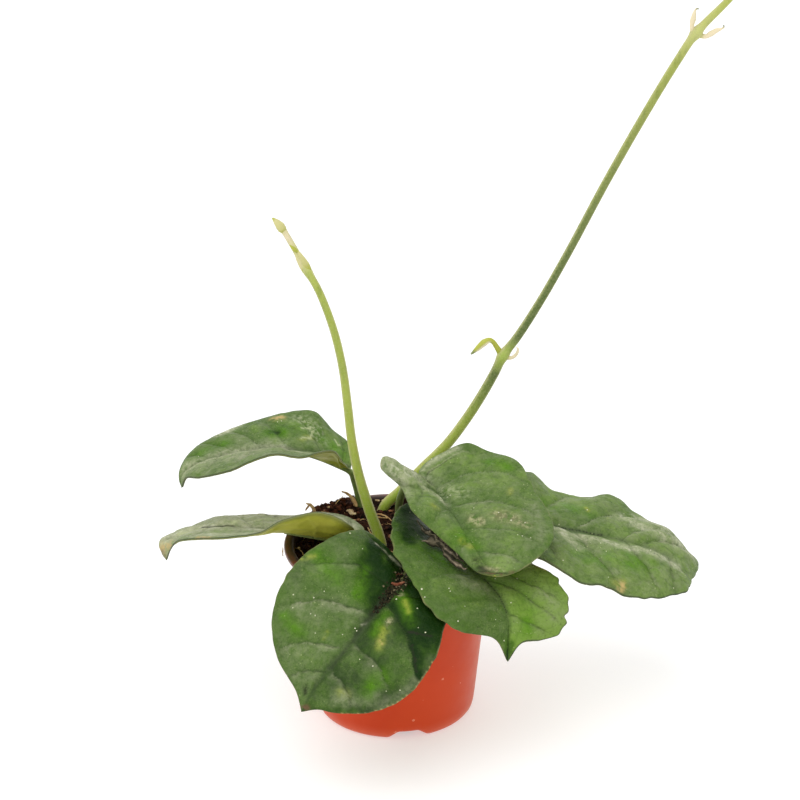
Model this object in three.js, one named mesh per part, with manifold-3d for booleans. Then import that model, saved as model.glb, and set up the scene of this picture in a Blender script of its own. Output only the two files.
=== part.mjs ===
// Young wax plant in a round nursery pot: six broad leaves and two climbing shoots in peat.
// Millimetres, Z up. The pot stands on Z = 0 with its axis on the Z axis, and its front faces -Y.
import * as THREE from 'three';
import { mergeVertices } from 'three/addons/utils/BufferGeometryUtils.js';
import Module from 'manifold-3d';

const wasm = await Module();
wasm.setup();

// Pot
const POT_HEIGHT = 74;
const RIM_RADIUS = 45;
const FOOT_RADIUS = 32;
const COLLAR_Z = 59;
const WALL = 0.9;
const LIP_DROP = 2.2;
const POT_SIDES = 48;
const NOTCH = { count: 4, turn: -80, width: 15, height: 3, inner: 17 };
const DRAIN_RADIUS = 3.2;
const DRAIN_DISTANCE = 25;

// Peat
const PEAT_LEVEL = 70.5;
const PEAT_BOTTOM = 4.3;
const GAP = 0.3;
const HOLE_GAP = 0.35;

// Leaves: how many rows and columns a blade has, and how far forward its side veins sweep
const BLADE_THICKNESS = 1;
const BLADE_ROWS = 22;
const BLADE_COLUMNS = 5;
const VEIN_SWEEP = 1.35;
const KEEL_SHARES = [0, 0.1, 0.25, 0.4];
const KEEL_RADII = [1.3, 1.15, 0.95, 0.6];
const KEEL_DROP = 0.7;
const PETIOLE_SIDES = 8;
const VINE_SIDES = 10;

// Each leaf has the points that its midrib and its two margins run through, from the petiole to
// the tip. Left and right are the leaf's own. Belly lifts the middle of each half, as a share of
// its width, at even steps from base to tip. The petiole starts in the peat.
const LEAVES = {
  leaf_back_left: {
    rib: [[-18.5, 28.5, 92.5], [-26.5, 27.5, 97], [-38, 26.5, 101.5], [-51, 25.5, 103.5],
      [-66.5, 24, 102], [-77, 22, 100], [-86.5, 20, 94.5], [-87.5, 19, 89]],
    left: [[-21.5, 22, 99.5], [-25, 8, 111], [-31, 3, 112.5], [-37.5, 0, 112], [-48, -0.5, 113.5],
      [-58, -1, 110.5], [-65.5, -0.5, 106.5], [-79.5, 7, 99.5], [-85, 14, 96]],
    right: [[-17.5, 37, 95.5], [-19.5, 43, 98.5], [-26, 49, 101.5], [-33.5, 52, 108.5], [-43.5, 52, 108.5],
      [-59, 48, 106], [-71, 43, 103.5], [-83.5, 34, 99.5], [-88.5, 22, 95.5], [-88.5, 20, 91.5]],
    belly: { left: [-0.15, -0.1, -0.05, 0, 0], right: [-0.05, 0, 0.05, 0.05, 0] },
    petiole: [[-15, 33, 61], [-15, 33, 71], [-15.5, 32.5, 79], [-17, 31, 86.5]],
    petioleRadius: 1.35,
  },
  leaf_left: {
    rib: [[-17.5, -3, 76], [-28, -4, 78], [-38.5, -4.5, 80], [-52.5, -5, 82], [-67, -6, 83.5],
      [-77, -7, 83], [-87, -8, 80], [-94.5, -9, 77.5], [-92, -10, 70.5]],
    left: [[-16.5, -15.5, 88], [-20, -20.5, 93.5], [-25.5, -21.5, 97], [-32.5, -23.5, 99], [-39, -25, 98],
      [-45, -27, 97], [-53, -30, 93.5], [-66, -30.5, 91.5], [-80.5, -24, 87.5], [-86.5, -19, 84],
      [-90, -12.5, 76.5]],
    right: [[-12.5, 10.5, 74.5], [-20.5, 18.5, 76.5], [-33, 20, 77.5], [-42, 20.5, 75.5], [-51.5, 21, 75.5],
      [-62.5, 19, 76], [-71, 17, 76.5], [-83.5, 9, 75.5], [-89.5, 1, 76.5], [-94.5, -6, 77.5]],
    belly: { left: [-0.15, -0.15, -0.12, -0.05, 0], right: [0, 0, 0.05, 0.05, 0] },
    petiole: [[-9.5, -2, 60], [-10.5, -2, 70]],
    petioleRadius: 1.5,
  },
  leaf_front: {
    rib: [[4.5, -30.5, 77], [-1, -43.5, 77], [-9.5, -55, 72], [-17, -63, 65], [-27, -71, 56],
      [-32, -75, 48], [-36, -78.5, 40.5]],
    left: [[11.5, -32.5, 77.5], [18, -42, 76], [23.5, -50.5, 71], [19.5, -61, 69], [15.5, -74, 62],
      [5, -83, 51.5], [-9, -84.5, 45.5], [-23, -82.5, 44], [-30, -79.5, 43]],
    right: [[-11, -19.5, 88.5], [-19.5, -25.5, 91.5], [-28, -32, 90.5], [-39, -40, 85], [-46, -47.5, 75],
      [-48, -55, 65], [-45.5, -63.5, 55.5], [-38, -74, 46.5]],
    belly: { left: [0, 0.05, 0.05, 0.05, 0], right: [-0.05, 0.05, 0.05, 0.05, 0] },
    petiole: [[9, -12, 60], [9.5, -16, 70]],
    petioleRadius: 1.5,
  },
  leaf_top: {
    rib: [[12, 9, 96.5], [16.5, 0, 96], [20.5, -12, 96], [27, -28, 93.5], [33, -42, 89], [37.5, -50, 86],
      [38.5, -54, 87]],
    left: [[13.5, 17, 100.5], [18.5, 21, 103.5], [29, 24, 107], [39, 20, 105], [49.5, 11, 105],
      [56.5, -6, 99], [62.5, -22, 94.5], [61, -36, 91], [49, -49, 87], [42, -53, 86.5]],
    right: [[9, 6, 102], [2, 0.5, 108.5], [-4.5, -8, 116], [-5.5, -11.5, 112.5], [2.5, -9.5, 102.5],
      [6.5, -22, 99], [14, -28, 93.5], [23.5, -39, 89.5], [31.5, -49, 86]],
    belly: { left: [-0.05, 0, 0.05, 0.08, 0.05], right: [-0.15, 0, 0.2, 0.2, 0.1] },
    petiole: [[2.5, 30, 62], [1.5, 30, 74], [3, 24, 84.5], [6, 18, 92]],
    petioleRadius: 1.6,
  },
  leaf_front_right: {
    rib: [[14, -4, 76.5], [23, -16, 77], [32, -31, 76], [40.5, -44, 72.5], [44, -53, 66.5], [44, -57, 59],
      [44, -59, 51.5]],
    left: [[22, 1, 82], [33, -4, 79.5], [45, -13, 77.5], [55.5, -25, 76.5], [65, -31, 73.5], [66.5, -35, 71.5],
      [68, -38, 70], [68, -46, 63], [65, -49, 59], [58.5, -53, 58], [49.5, -58, 59.5]],
    right: [[8, 6, 84.5], [5, 2, 90.5], [0, -9, 91], [-1.5, -26, 89.5], [0, -35, 86.5], [5, -46, 83],
      [15, -61.5, 74.5], [26, -65.5, 68.5], [39, -60, 62]],
    belly: { left: [0, 0, 0.05, 0.05, 0], right: [-0.05, 0.1, 0.08, 0.05, 0] },
    petiole: [[6, 9, 60], [7, 7.5, 69]],
    petioleRadius: 1.5,
  },
  leaf_right: {
    rib: [[36.5, -1, 84.5], [50.5, 0, 83], [64.5, 0, 80.5], [79.5, -1, 77.5], [95, -3, 75], [107, -5, 71],
      [116.5, -7, 63.5], [120, -8, 59]],
    left: [[34.5, 8.5, 86.5], [42, 20.5, 88.5], [55, 29, 91.5], [65, 30, 83], [79.5, 30, 79.5], [89.5, 29.5, 81],
      [101, 22, 75], [112, 14, 73], [118.5, 11.5, 66.5], [124.5, 10.5, 59]],
    right: [[33.5, -9, 86], [37.5, -20.5, 87.5], [45.5, -27, 87], [58, -31.5, 82.5], [67.5, -34, 77],
      [74.5, -34.5, 73], [82.5, -34, 72], [91, -33.5, 67], [104, -28.5, 63.5], [117.5, -16.5, 60]],
    belly: { left: [0, 0, 0.05, 0.05, 0], right: [0, 0.05, 0.05, 0.08, 0] },
    petiole: [[17, 16, 60], [19, 15, 72], [27, 8, 82]],
    petioleRadius: 1.5,
  },
};

// A shoot is a list of points with a radius at each, and the leaflets that grow from its nodes
const VINES = {
  vine_tall: {
    points: [[-7.5, 34, 60], [-4.5, 33, 73.5], [2, 33.5, 80.5], [11.5, 33.8, 91], [21.3, 33.8, 101.7],
      [28.8, 33.1, 112.9], [35.1, 32.4, 124], [40.6, 31.6, 135.2], [43.8, 31, 142.8], [49.5, 30.5, 151.3],
      [58.5, 29.3, 167.5], [69, 27.5, 189], [83.2, 25, 220], [98, 22.5, 250.2], [108.4, 20.9, 270],
      [115, 20, 281.2], [126.5, 18.2, 294.7], [134, 18, 304], [139, 18, 314], [141.7, 18, 325], [142, 18, 334]],
    radii: [2.3, 2.3, 2.2, 2.15, 2.1, 2.05, 2, 1.95, 2.5, 1.75, 1.65, 1.65, 1.65, 1.6, 1.55, 2.2, 1.45, 1.3, 1.15,
      1.8, 0.5],
    leaflets: [
      { points: [[43, 30.8, 143], [41.2, 30, 146.9], [38.1, 29, 150.4], [33.5, 28, 147.1], [30.7, 27.5, 144.8]],
        radii: [1.3, 0.9, 1.3, 1.1, 0.35] },
      { points: [[44, 30.8, 142.5], [47.2, 30, 142.1], [49.5, 29.2, 145.1], [49, 28.8, 147.3]],
        radii: [1.2, 0.8, 0.7, 0.35] },
      { points: [[114.5, 19.8, 280.5], [113.2, 19, 284.3], [113.8, 18.4, 289.1], [115.3, 18, 291.1]],
        radii: [1.2, 1, 0.8, 0.35] },
      { points: [[115.5, 19.8, 280.8], [118.8, 19.4, 280], [122.8, 19, 282.5], [125.2, 18.6, 284.7]],
        radii: [1.2, 0.9, 1.1, 0.35] },
    ],
  },
  vine_short: {
    points: [[-3, 3, 56], [-6.5, 4, 74], [-10.7, 4.6, 87], [-14.7, 5.5, 101.7], [-17.3, 6, 116], [-18.9, 6, 132],
      [-20.6, 6, 147], [-23.3, 6, 161], [-26.5, 6, 172], [-30.3, 6, 182], [-34, 6, 189], [-36.7, 6, 194],
      [-39, 6, 198.5], [-41.8, 6, 203.7], [-43.8, 6, 207], [-47.5, 6, 211.3]],
    radii: [2.3, 2.3, 2.2, 2, 1.85, 1.75, 1.65, 1.6, 1.55, 1.5, 1.8, 1.4, 1, 1.1, 1.6, 0.3],
    leaflets: [
      { points: [[-33.5, 5.3, 190], [-35.6, 4.6, 194.6], [-38, 4.8, 198.5]], radii: [1.3, 1.1, 0.35] },
      { points: [[-34.8, 6.7, 189], [-37.2, 6.2, 193], [-39.1, 6, 197.2]], radii: [1.3, 1, 0.35] },
    ],
  },
};

const vector = ([x, y, z]) => new THREE.Vector3(x, y, z);
const curveThrough = (points) => new THREE.CatmullRomCurve3(points.map(vector), false, 'centripetal');

// Value at a share of the way along a list of evenly spaced values
function valueAt(values, share) {
  const place = THREE.MathUtils.clamp(share, 0, 1) * (values.length - 1);
  const index = Math.min(Math.floor(place), values.length - 2);
  return THREE.MathUtils.lerp(values[index], values[index + 1], place - index);
}

// Closed skin over rings of points, with a point at each end. The second half of each ring is
// split along the other diagonal, so that the two faces of a blade have the same triangles.
function skin(start, rings, end) {
  const sides = rings[0].length;
  const points = [start, ...rings.flat(), end];
  const last = rings.length - 1;
  const at = (ring, side) => 1 + ring * sides + (side % sides);
  const triangles = [];
  for (let side = 0; side < sides; side += 1) {
    triangles.push(0, at(0, side + 1), at(0, side));
    triangles.push(points.length - 1, at(last, side), at(last, side + 1));
  }
  for (let ring = 0; ring < last; ring += 1) {
    for (let side = 0; side < sides; side += 1) {
      const near = at(ring, side);
      const nearNext = at(ring, side + 1);
      const far = at(ring + 1, side);
      const farNext = at(ring + 1, side + 1);
      if (side < sides / 2) triangles.push(near, nearNext, farNext, near, farNext, far);
      else triangles.push(near, nearNext, far, nearNext, farNext, far);
    }
  }
  const geometry = new THREE.BufferGeometry();
  geometry.setAttribute('position', new THREE.Float32BufferAttribute(points.flatMap((p) => p.toArray()), 3));
  geometry.setIndex(triangles);
  return geometry;
}

// Closed body as a solid that can be joined and cut
function solid(geometry) {
  const bare = geometry.clone();
  bare.deleteAttribute('normal');
  bare.deleteAttribute('uv');
  const merged = mergeVertices(bare, 1e-4);
  const index = merged.index.array;
  const triangles = [];
  for (let i = 0; i < index.length; i += 3) {
    const [a, b, c] = index.slice(i, i + 3);
    if (a !== b && b !== c && c !== a) triangles.push(a, b, c);
  }
  return new wasm.Manifold(new wasm.Mesh({
    numProp: 3,
    vertProperties: new Float32Array(merged.attributes.position.array),
    triVerts: new Uint32Array(triangles),
  }));
}

function namedMesh(name, body, colour, roughness) {
  const { vertProperties, triVerts } = body.getMesh();
  const geometry = new THREE.BufferGeometry();
  geometry.setAttribute('position', new THREE.Float32BufferAttribute(vertProperties, 3));
  geometry.setIndex([...triVerts]);
  geometry.computeVertexNormals();
  const material = new THREE.MeshStandardMaterial({ color: colour, roughness, metalness: 0 });
  const mesh = new THREE.Mesh(geometry, material);
  mesh.name = name;
  return mesh;
}

// Stem through the points, as thick as the radii say, and flattened to the given share of its width
function stem({ points, radii, sides, flatness = 1 }) {
  const path = curveThrough(points);
  const steps = points.length * 2;
  const { normals, binormals } = path.computeFrenetFrames(steps);
  const rings = [];
  for (let step = 0; step <= steps; step += 1) {
    const share = step / steps;
    const centre = path.getPointAt(share);
    const radius = valueAt(radii, path.getUtoTmapping(share));
    const ring = [];
    for (let side = 0; side < sides; side += 1) {
      const angle = (side / sides) * Math.PI * 2;
      ring.push(centre.clone()
        .addScaledVector(normals[step], Math.cos(angle) * radius * flatness)
        .addScaledVector(binormals[step], Math.sin(angle) * radius));
    }
    rings.push(ring);
  }
  return solid(skin(path.getPointAt(0), rings, path.getPointAt(1)));
}

// Middle surface of a blade: a row of points from the left margin over the midrib to the right one
function bladeRow(leaf, curves, share) {
  const ribShare = share ** VEIN_SWEEP;
  const ribPoint = curves.rib.getPointAt(ribShare);
  const forward = curves.rib.getTangentAt(ribShare);
  const half = (side, sign) => {
    const across = curves[side].getPointAt(share).sub(ribPoint);
    const up = across.clone().cross(forward).multiplyScalar(sign).normalize();
    const lift = valueAt(leaf.belly[side], share) * across.length();
    const row = [];
    for (let column = 1; column <= BLADE_COLUMNS; column += 1) {
      const out = column / BLADE_COLUMNS;
      row.push(ribPoint.clone().addScaledVector(across, out).addScaledVector(up, 2 * out * (1 - out) * lift));
    }
    return row;
  };
  return [...half('left', -1).reverse(), ribPoint, ...half('right', 1)];
}

function blade(leaf) {
  const base = leaf.rib[0];
  const tip = leaf.rib.at(-1);
  const curves = {
    rib: curveThrough(leaf.rib),
    left: curveThrough([base, ...leaf.left, tip]),
    right: curveThrough([base, ...leaf.right, tip]),
  };
  const rows = [];
  for (let row = 1; row < BLADE_ROWS; row += 1) rows.push(bladeRow(leaf, curves, row / BLADE_ROWS));
  const columns = rows[0].length;
  const rowOrEnd = (row) => rows[row] ?? new Array(columns).fill(vector(row < 0 ? base : tip));
  const rings = rows.map((points, row) => {
    const upper = [];
    const lower = [];
    points.forEach((point, column) => {
      const forward = rowOrEnd(row + 1)[column].clone().sub(rowOrEnd(row - 1)[column]);
      const across = points[Math.min(column + 1, columns - 1)].clone().sub(points[Math.max(column - 1, 0)]);
      const up = across.cross(forward).normalize();
      upper.push(point.clone().addScaledVector(up, BLADE_THICKNESS / 2));
      lower.unshift(point.clone().addScaledVector(up, -BLADE_THICKNESS / 2));
    });
    return [...upper, ...lower];
  });
  return solid(skin(vector(base), rings, vector(tip)));
}

// Petiole that runs on under the blade as a keel and thins out there
function petioleStem(leaf) {
  const rib = curveThrough(leaf.rib);
  const keel = KEEL_SHARES.map((share) => {
    const point = rib.getPointAt(share);
    point.z -= KEEL_DROP;
    return point.toArray();
  });
  const radii = [...leaf.petiole.map(() => leaf.petioleRadius), ...KEEL_RADII];
  return { points: [...leaf.petiole, ...keel], radii, sides: PETIOLE_SIDES };
}

const leafBody = (leaf) => blade(leaf).add(stem(petioleStem(leaf)));
const vineStem = ({ points, radii }) => ({ points, radii, sides: VINE_SIDES });

function vineBody(vine) {
  let body = stem(vineStem(vine));
  for (const leaflet of vine.leaflets) body = body.add(stem({ ...leaflet, sides: 6, flatness: 0.45 }));
  return body;
}

// Solid of revolution about the Z axis from [radius, height] points
function turned(profile) {
  const outline = profile.map(([radius, z]) => new THREE.Vector2(radius, z));
  return new THREE.LatheGeometry(outline, POT_SIDES).rotateX(Math.PI / 2);
}

// Outside radius of the pot's wall: a tapered bucket below a wider collar
const wallProfile = [[FOOT_RADIUS + 0.4, 3], [35.5, 32], [37.9, COLLAR_Z - 1], [41.2, COLLAR_Z + 1.5],
  [41.9, POT_HEIGHT - LIP_DROP + 1.3]];

function potOutside() {
  const lipUnder = POT_HEIGHT - WALL;
  return turned([
    [0, 0], [FOOT_RADIUS - 2.5, 0], [FOOT_RADIUS - 0.7, 0.8], ...wallProfile,
    [44.2, lipUnder], [44.2, POT_HEIGHT - LIP_DROP], [RIM_RADIUS, POT_HEIGHT - LIP_DROP],
    [RIM_RADIUS, POT_HEIGHT - 0.5], [RIM_RADIUS - 0.5, POT_HEIGHT], [0, POT_HEIGHT],
  ]);
}

function potInside() {
  return turned([
    [0, WALL], [FOOT_RADIUS - 2.7, WALL], [FOOT_RADIUS - 1.3, 1.8],
    ...wallProfile.map(([radius, z]) => [radius - WALL, z]),
    [wallProfile.at(-1)[0] - WALL, POT_HEIGHT + 1], [0, POT_HEIGHT + 1],
  ]);
}

// Radial channels across the foot that lift the bottom edge and let water out
function channels(extra) {
  const reach = FOOT_RADIUS + 10;
  let body;
  for (let index = 0; index < NOTCH.count; index += 1) {
    const width = NOTCH.width + 2 * extra;
    const roof = NOTCH.height + extra;
    const outline = new THREE.Shape([
      new THREE.Vector2(-width / 2 - 1, -1), new THREE.Vector2(width / 2 + 1, -1),
      new THREE.Vector2(width / 2 - 2, roof), new THREE.Vector2(-width / 2 + 2, roof),
    ]);
    const start = NOTCH.inner - extra;
    const bar = new THREE.ExtrudeGeometry(outline, { depth: reach - start, bevelEnabled: false });
    bar.translate(0, 0, start);
    bar.rotateX(Math.PI / 2);
    bar.rotateZ(THREE.MathUtils.degToRad(NOTCH.turn + 90 + (index * 360) / NOTCH.count));
    body = body ? body.add(solid(bar)) : solid(bar);
  }
  return body;
}

function drain(index) {
  const angle = THREE.MathUtils.degToRad(NOTCH.turn + (index * 360) / NOTCH.count);
  const hole = new THREE.CylinderGeometry(DRAIN_RADIUS, DRAIN_RADIUS, 8, 16).rotateX(Math.PI / 2);
  hole.translate(DRAIN_DISTANCE * Math.cos(angle), DRAIN_DISTANCE * Math.sin(angle), NOTCH.height);
  return solid(hole);
}

function potBody() {
  const shell = solid(potOutside()).subtract(channels(0));
  const hollow = solid(potInside()).subtract(channels(WALL));
  let body = shell.subtract(hollow);
  for (let index = 0; index < NOTCH.count; index += 1) body = body.subtract(drain(index));
  return body;
}

// Height of the peat: heaped at the back left and hollow at the front left
function peatHeight(x, y) {
  const heap = (cx, cy, size, height) => height * Math.exp(-((x - cx) ** 2 + (y - cy) ** 2) / size ** 2);
  const lumps = 0.7 * Math.sin(x * 0.42 + y * 0.19) * Math.sin(y * 0.37 - x * 0.11 + 1);
  return PEAT_LEVEL + heap(-24, 31, 9, 5.5) + heap(-2, 33, 9, 2.5) + heap(-32, -18, 13, -2.5) + lumps;
}

function peatBody() {
  const wallAt = (height) => {
    const index = wallProfile.findIndex(([, z]) => z > height);
    const [[lowRadius, lowZ], [highRadius, highZ]] = [wallProfile[index - 1], wallProfile[index]];
    return THREE.MathUtils.mapLinear(height, lowZ, highZ, lowRadius, highRadius) - WALL - GAP;
  };
  const edge = wallAt(PEAT_LEVEL);
  const top = [];
  for (let ring = 0; ring < 9; ring += 1) top.push([edge * (1 - ring / 9), PEAT_LEVEL]);
  const geometry = turned([
    [0, PEAT_BOTTOM], [wallAt(PEAT_BOTTOM), PEAT_BOTTOM], [wallAt(32), 32], [wallAt(COLLAR_Z - 1), COLLAR_Z - 1],
    [wallAt(COLLAR_Z + 1.5), COLLAR_Z + 1.5], ...top, [0, PEAT_LEVEL],
  ]);
  const place = geometry.attributes.position;
  for (let i = 0; i < place.count; i += 1) {
    if (place.getZ(i) > PEAT_LEVEL - 0.01) place.setZ(i, peatHeight(place.getX(i), place.getY(i)));
  }
  let body = solid(geometry);
  const stems = [...Object.values(VINES).map(vineStem), ...Object.values(LEAVES).map(petioleStem)];
  for (const rooted of stems) body = body.subtract(hole(rooted));
  return body;
}

// The room that a stem takes up, with a gap all round and below its end
function hole({ points, radii, sides }) {
  const end = vector(points[0]);
  const below = end.clone().sub(vector(points[1])).setLength(HOLE_GAP).add(end);
  const wider = radii.map((radius) => radius + HOLE_GAP);
  return stem({ points: [below.toArray(), ...points.slice(1)], radii: wider, sides });
}

const plant = new THREE.Group();
plant.add(namedMesh('pot', potBody(), 0xb8492a, 0.45));
plant.add(namedMesh('soil', peatBody(), 0x2e1c14, 0.95));
for (const [name, vine] of Object.entries(VINES)) plant.add(namedMesh(name, vineBody(vine), 0x7c9440, 0.6));
for (const [name, leaf] of Object.entries(LEAVES)) plant.add(namedMesh(name, leafBody(leaf), 0x3f6b34, 0.4));

export default plant;
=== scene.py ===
"""Young wax plant in a round nursery pot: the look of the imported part.

Tables and shapes are in millimetres, and MM turns them into the scene's metres.
"""
import math
import random

import bmesh
import bpy
import numpy as np
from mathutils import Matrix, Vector, noise


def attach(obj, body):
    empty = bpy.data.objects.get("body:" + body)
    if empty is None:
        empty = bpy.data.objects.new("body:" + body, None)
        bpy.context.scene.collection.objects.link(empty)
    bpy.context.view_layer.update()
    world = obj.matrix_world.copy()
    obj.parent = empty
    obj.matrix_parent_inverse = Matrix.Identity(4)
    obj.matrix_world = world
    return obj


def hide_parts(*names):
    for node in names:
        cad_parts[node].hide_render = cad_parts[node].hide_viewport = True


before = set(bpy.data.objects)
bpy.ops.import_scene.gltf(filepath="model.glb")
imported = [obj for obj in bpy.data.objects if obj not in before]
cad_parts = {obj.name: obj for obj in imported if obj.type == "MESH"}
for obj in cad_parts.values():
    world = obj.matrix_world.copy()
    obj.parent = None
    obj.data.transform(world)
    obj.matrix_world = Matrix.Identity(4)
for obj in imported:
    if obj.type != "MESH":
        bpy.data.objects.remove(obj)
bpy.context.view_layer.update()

MM = 0.001
TURN = 2 * math.pi
SEED = 11
FRONT = (0.12, -1.0, 0.15)  # towards the viewer, a little off the axes of the stems

# Leaf blades
LEAF_THICKNESS = 1.0
LEAF_ROWS = 170
LEAF_COLUMNS = 54  # on each half
COLUMN_CROWDING = 0.6  # how much closer the columns lie at the midrib and at the margin
RIB_SMOOTHING = 16  # rounds of smoothing across the midrib
RIB_GROOVE = 0.4
EDGE_ROUNDING = 0.5
EDGE_DROOP = 0.35
UNDER_VEIN = 0.12  # height of the veins on the lower face
SWELL_SPACING = 10
SWELL_HEIGHT = 0.14
DIMPLE_SPACING = 3.2
DIMPLE_HEIGHT = 0.035
EDGE_WAVE = 7
EDGE_WOBBLE = 0.005
VEIN_SWEEP = 1.35
VEIN_WIDTH = 0.55
VEIN_GROOVE = 0.22
VEIN_WANDER = 0.4
WANDER_SPACING = 8
HALF_WIDTH = 30.0  # of a usual blade
FLUSH_SHEEN = 0.6  # strength of the pale flush beside a vein: partly real silvery flush, partly painted sheen
FLUSH_SHEEN_REACH = 2.4
VEIN_SHADE_REACH = 6  # of the painted shade on a vein's base side
PANEL_BULGE = 0.95
PANEL_STEEPNESS = 0.12  # share of a panel in which it rises
PANEL_FALL = 2.6
PANEL_WIDTH = 12  # narrower panels rise less
NET_SPACING = 5.5  # of the fine net between the veins
NET_GROOVE = 0.16
WRINKLE_HEIGHT = 0.3
WRINKLE_SPACING = 2.6
SPOT_STEPS = 20  # round marks in a row that make a streak
SPOT_SHARPNESS = 1.5
KEEL_DROP = 0.8  # how far the petiole runs below the midrib
DIRT_COUNT = 420  # crumbs of peat on leaf_front

# Shoots
HAIR_RADIUS = 0.045
HAIR_ROOT = 0.1  # how deep a hair goes into the skin
BARE_FOOT = 72  # no hairs below this height
BARE_TIP = 3  # and none so close to the top

# Pot
POT_HEIGHT = 74.0
RIM_RADIUS = 45.0
WALL = 0.9
POT_SECTORS = 288
NOTCH_TURN = -80.0
NOTCH_HEIGHT = 3.0
NOTCH_SIDES = (3.4, 8.8)  # where its side slopes begin and end
NOTCH_END = (15, 19)  # where its inner end slopes, from the pot's axis
NOTCH_REACH = 8.0  # height up to which the wall is lifted with it
DRAIN_RADIUS = 3.2
DRAIN_DISTANCE = 25.0
DRAIN_SIDES = 40
DRAIN_DEPTH = 8.0
DUST_AND_SHADE_HEIGHTS = (58.5, 61.0)  # where the dark peat dust and painted shade on the collar begin and are full
FOOT_HIGHLIGHT_HEIGHTS = (7.5, 1.0)  # and the painted highlight on the rounded foot, downwards

# Peat
PEAT_LEVEL = 70.5
PEAT_BOTTOM = 4.3
PEAT_RADIUS = 40.55
PEAT_RINGS = 110
PEAT_SECTORS = 230
# Heaps and hollows: the middle, the size and the rise
PEAT_HEAPS = ((-22, 33, 8, 6), (-31, 27, 6, 2.5), (-2, 33, 9, 2.5), (-32, -18, 13, -2.5))
CRUMB_POINTS = 26
CRUMB_SINK = 0.3
HEAP_ARC = (112, 141)  # where lumps lie on the pot's lip, in degrees
HEAP_RING = (40.5, 44.4)

# Studio, in metres and degrees
CAMERA_PLACE = (0.002, -1.0053, 0.5844)
CAMERA_TILT = 66
LENS = 125  # millimetres, like the sensor
SENSOR = 36
SKY_STRENGTH = 0.82
FLOOR_REACH = 6.0
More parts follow.
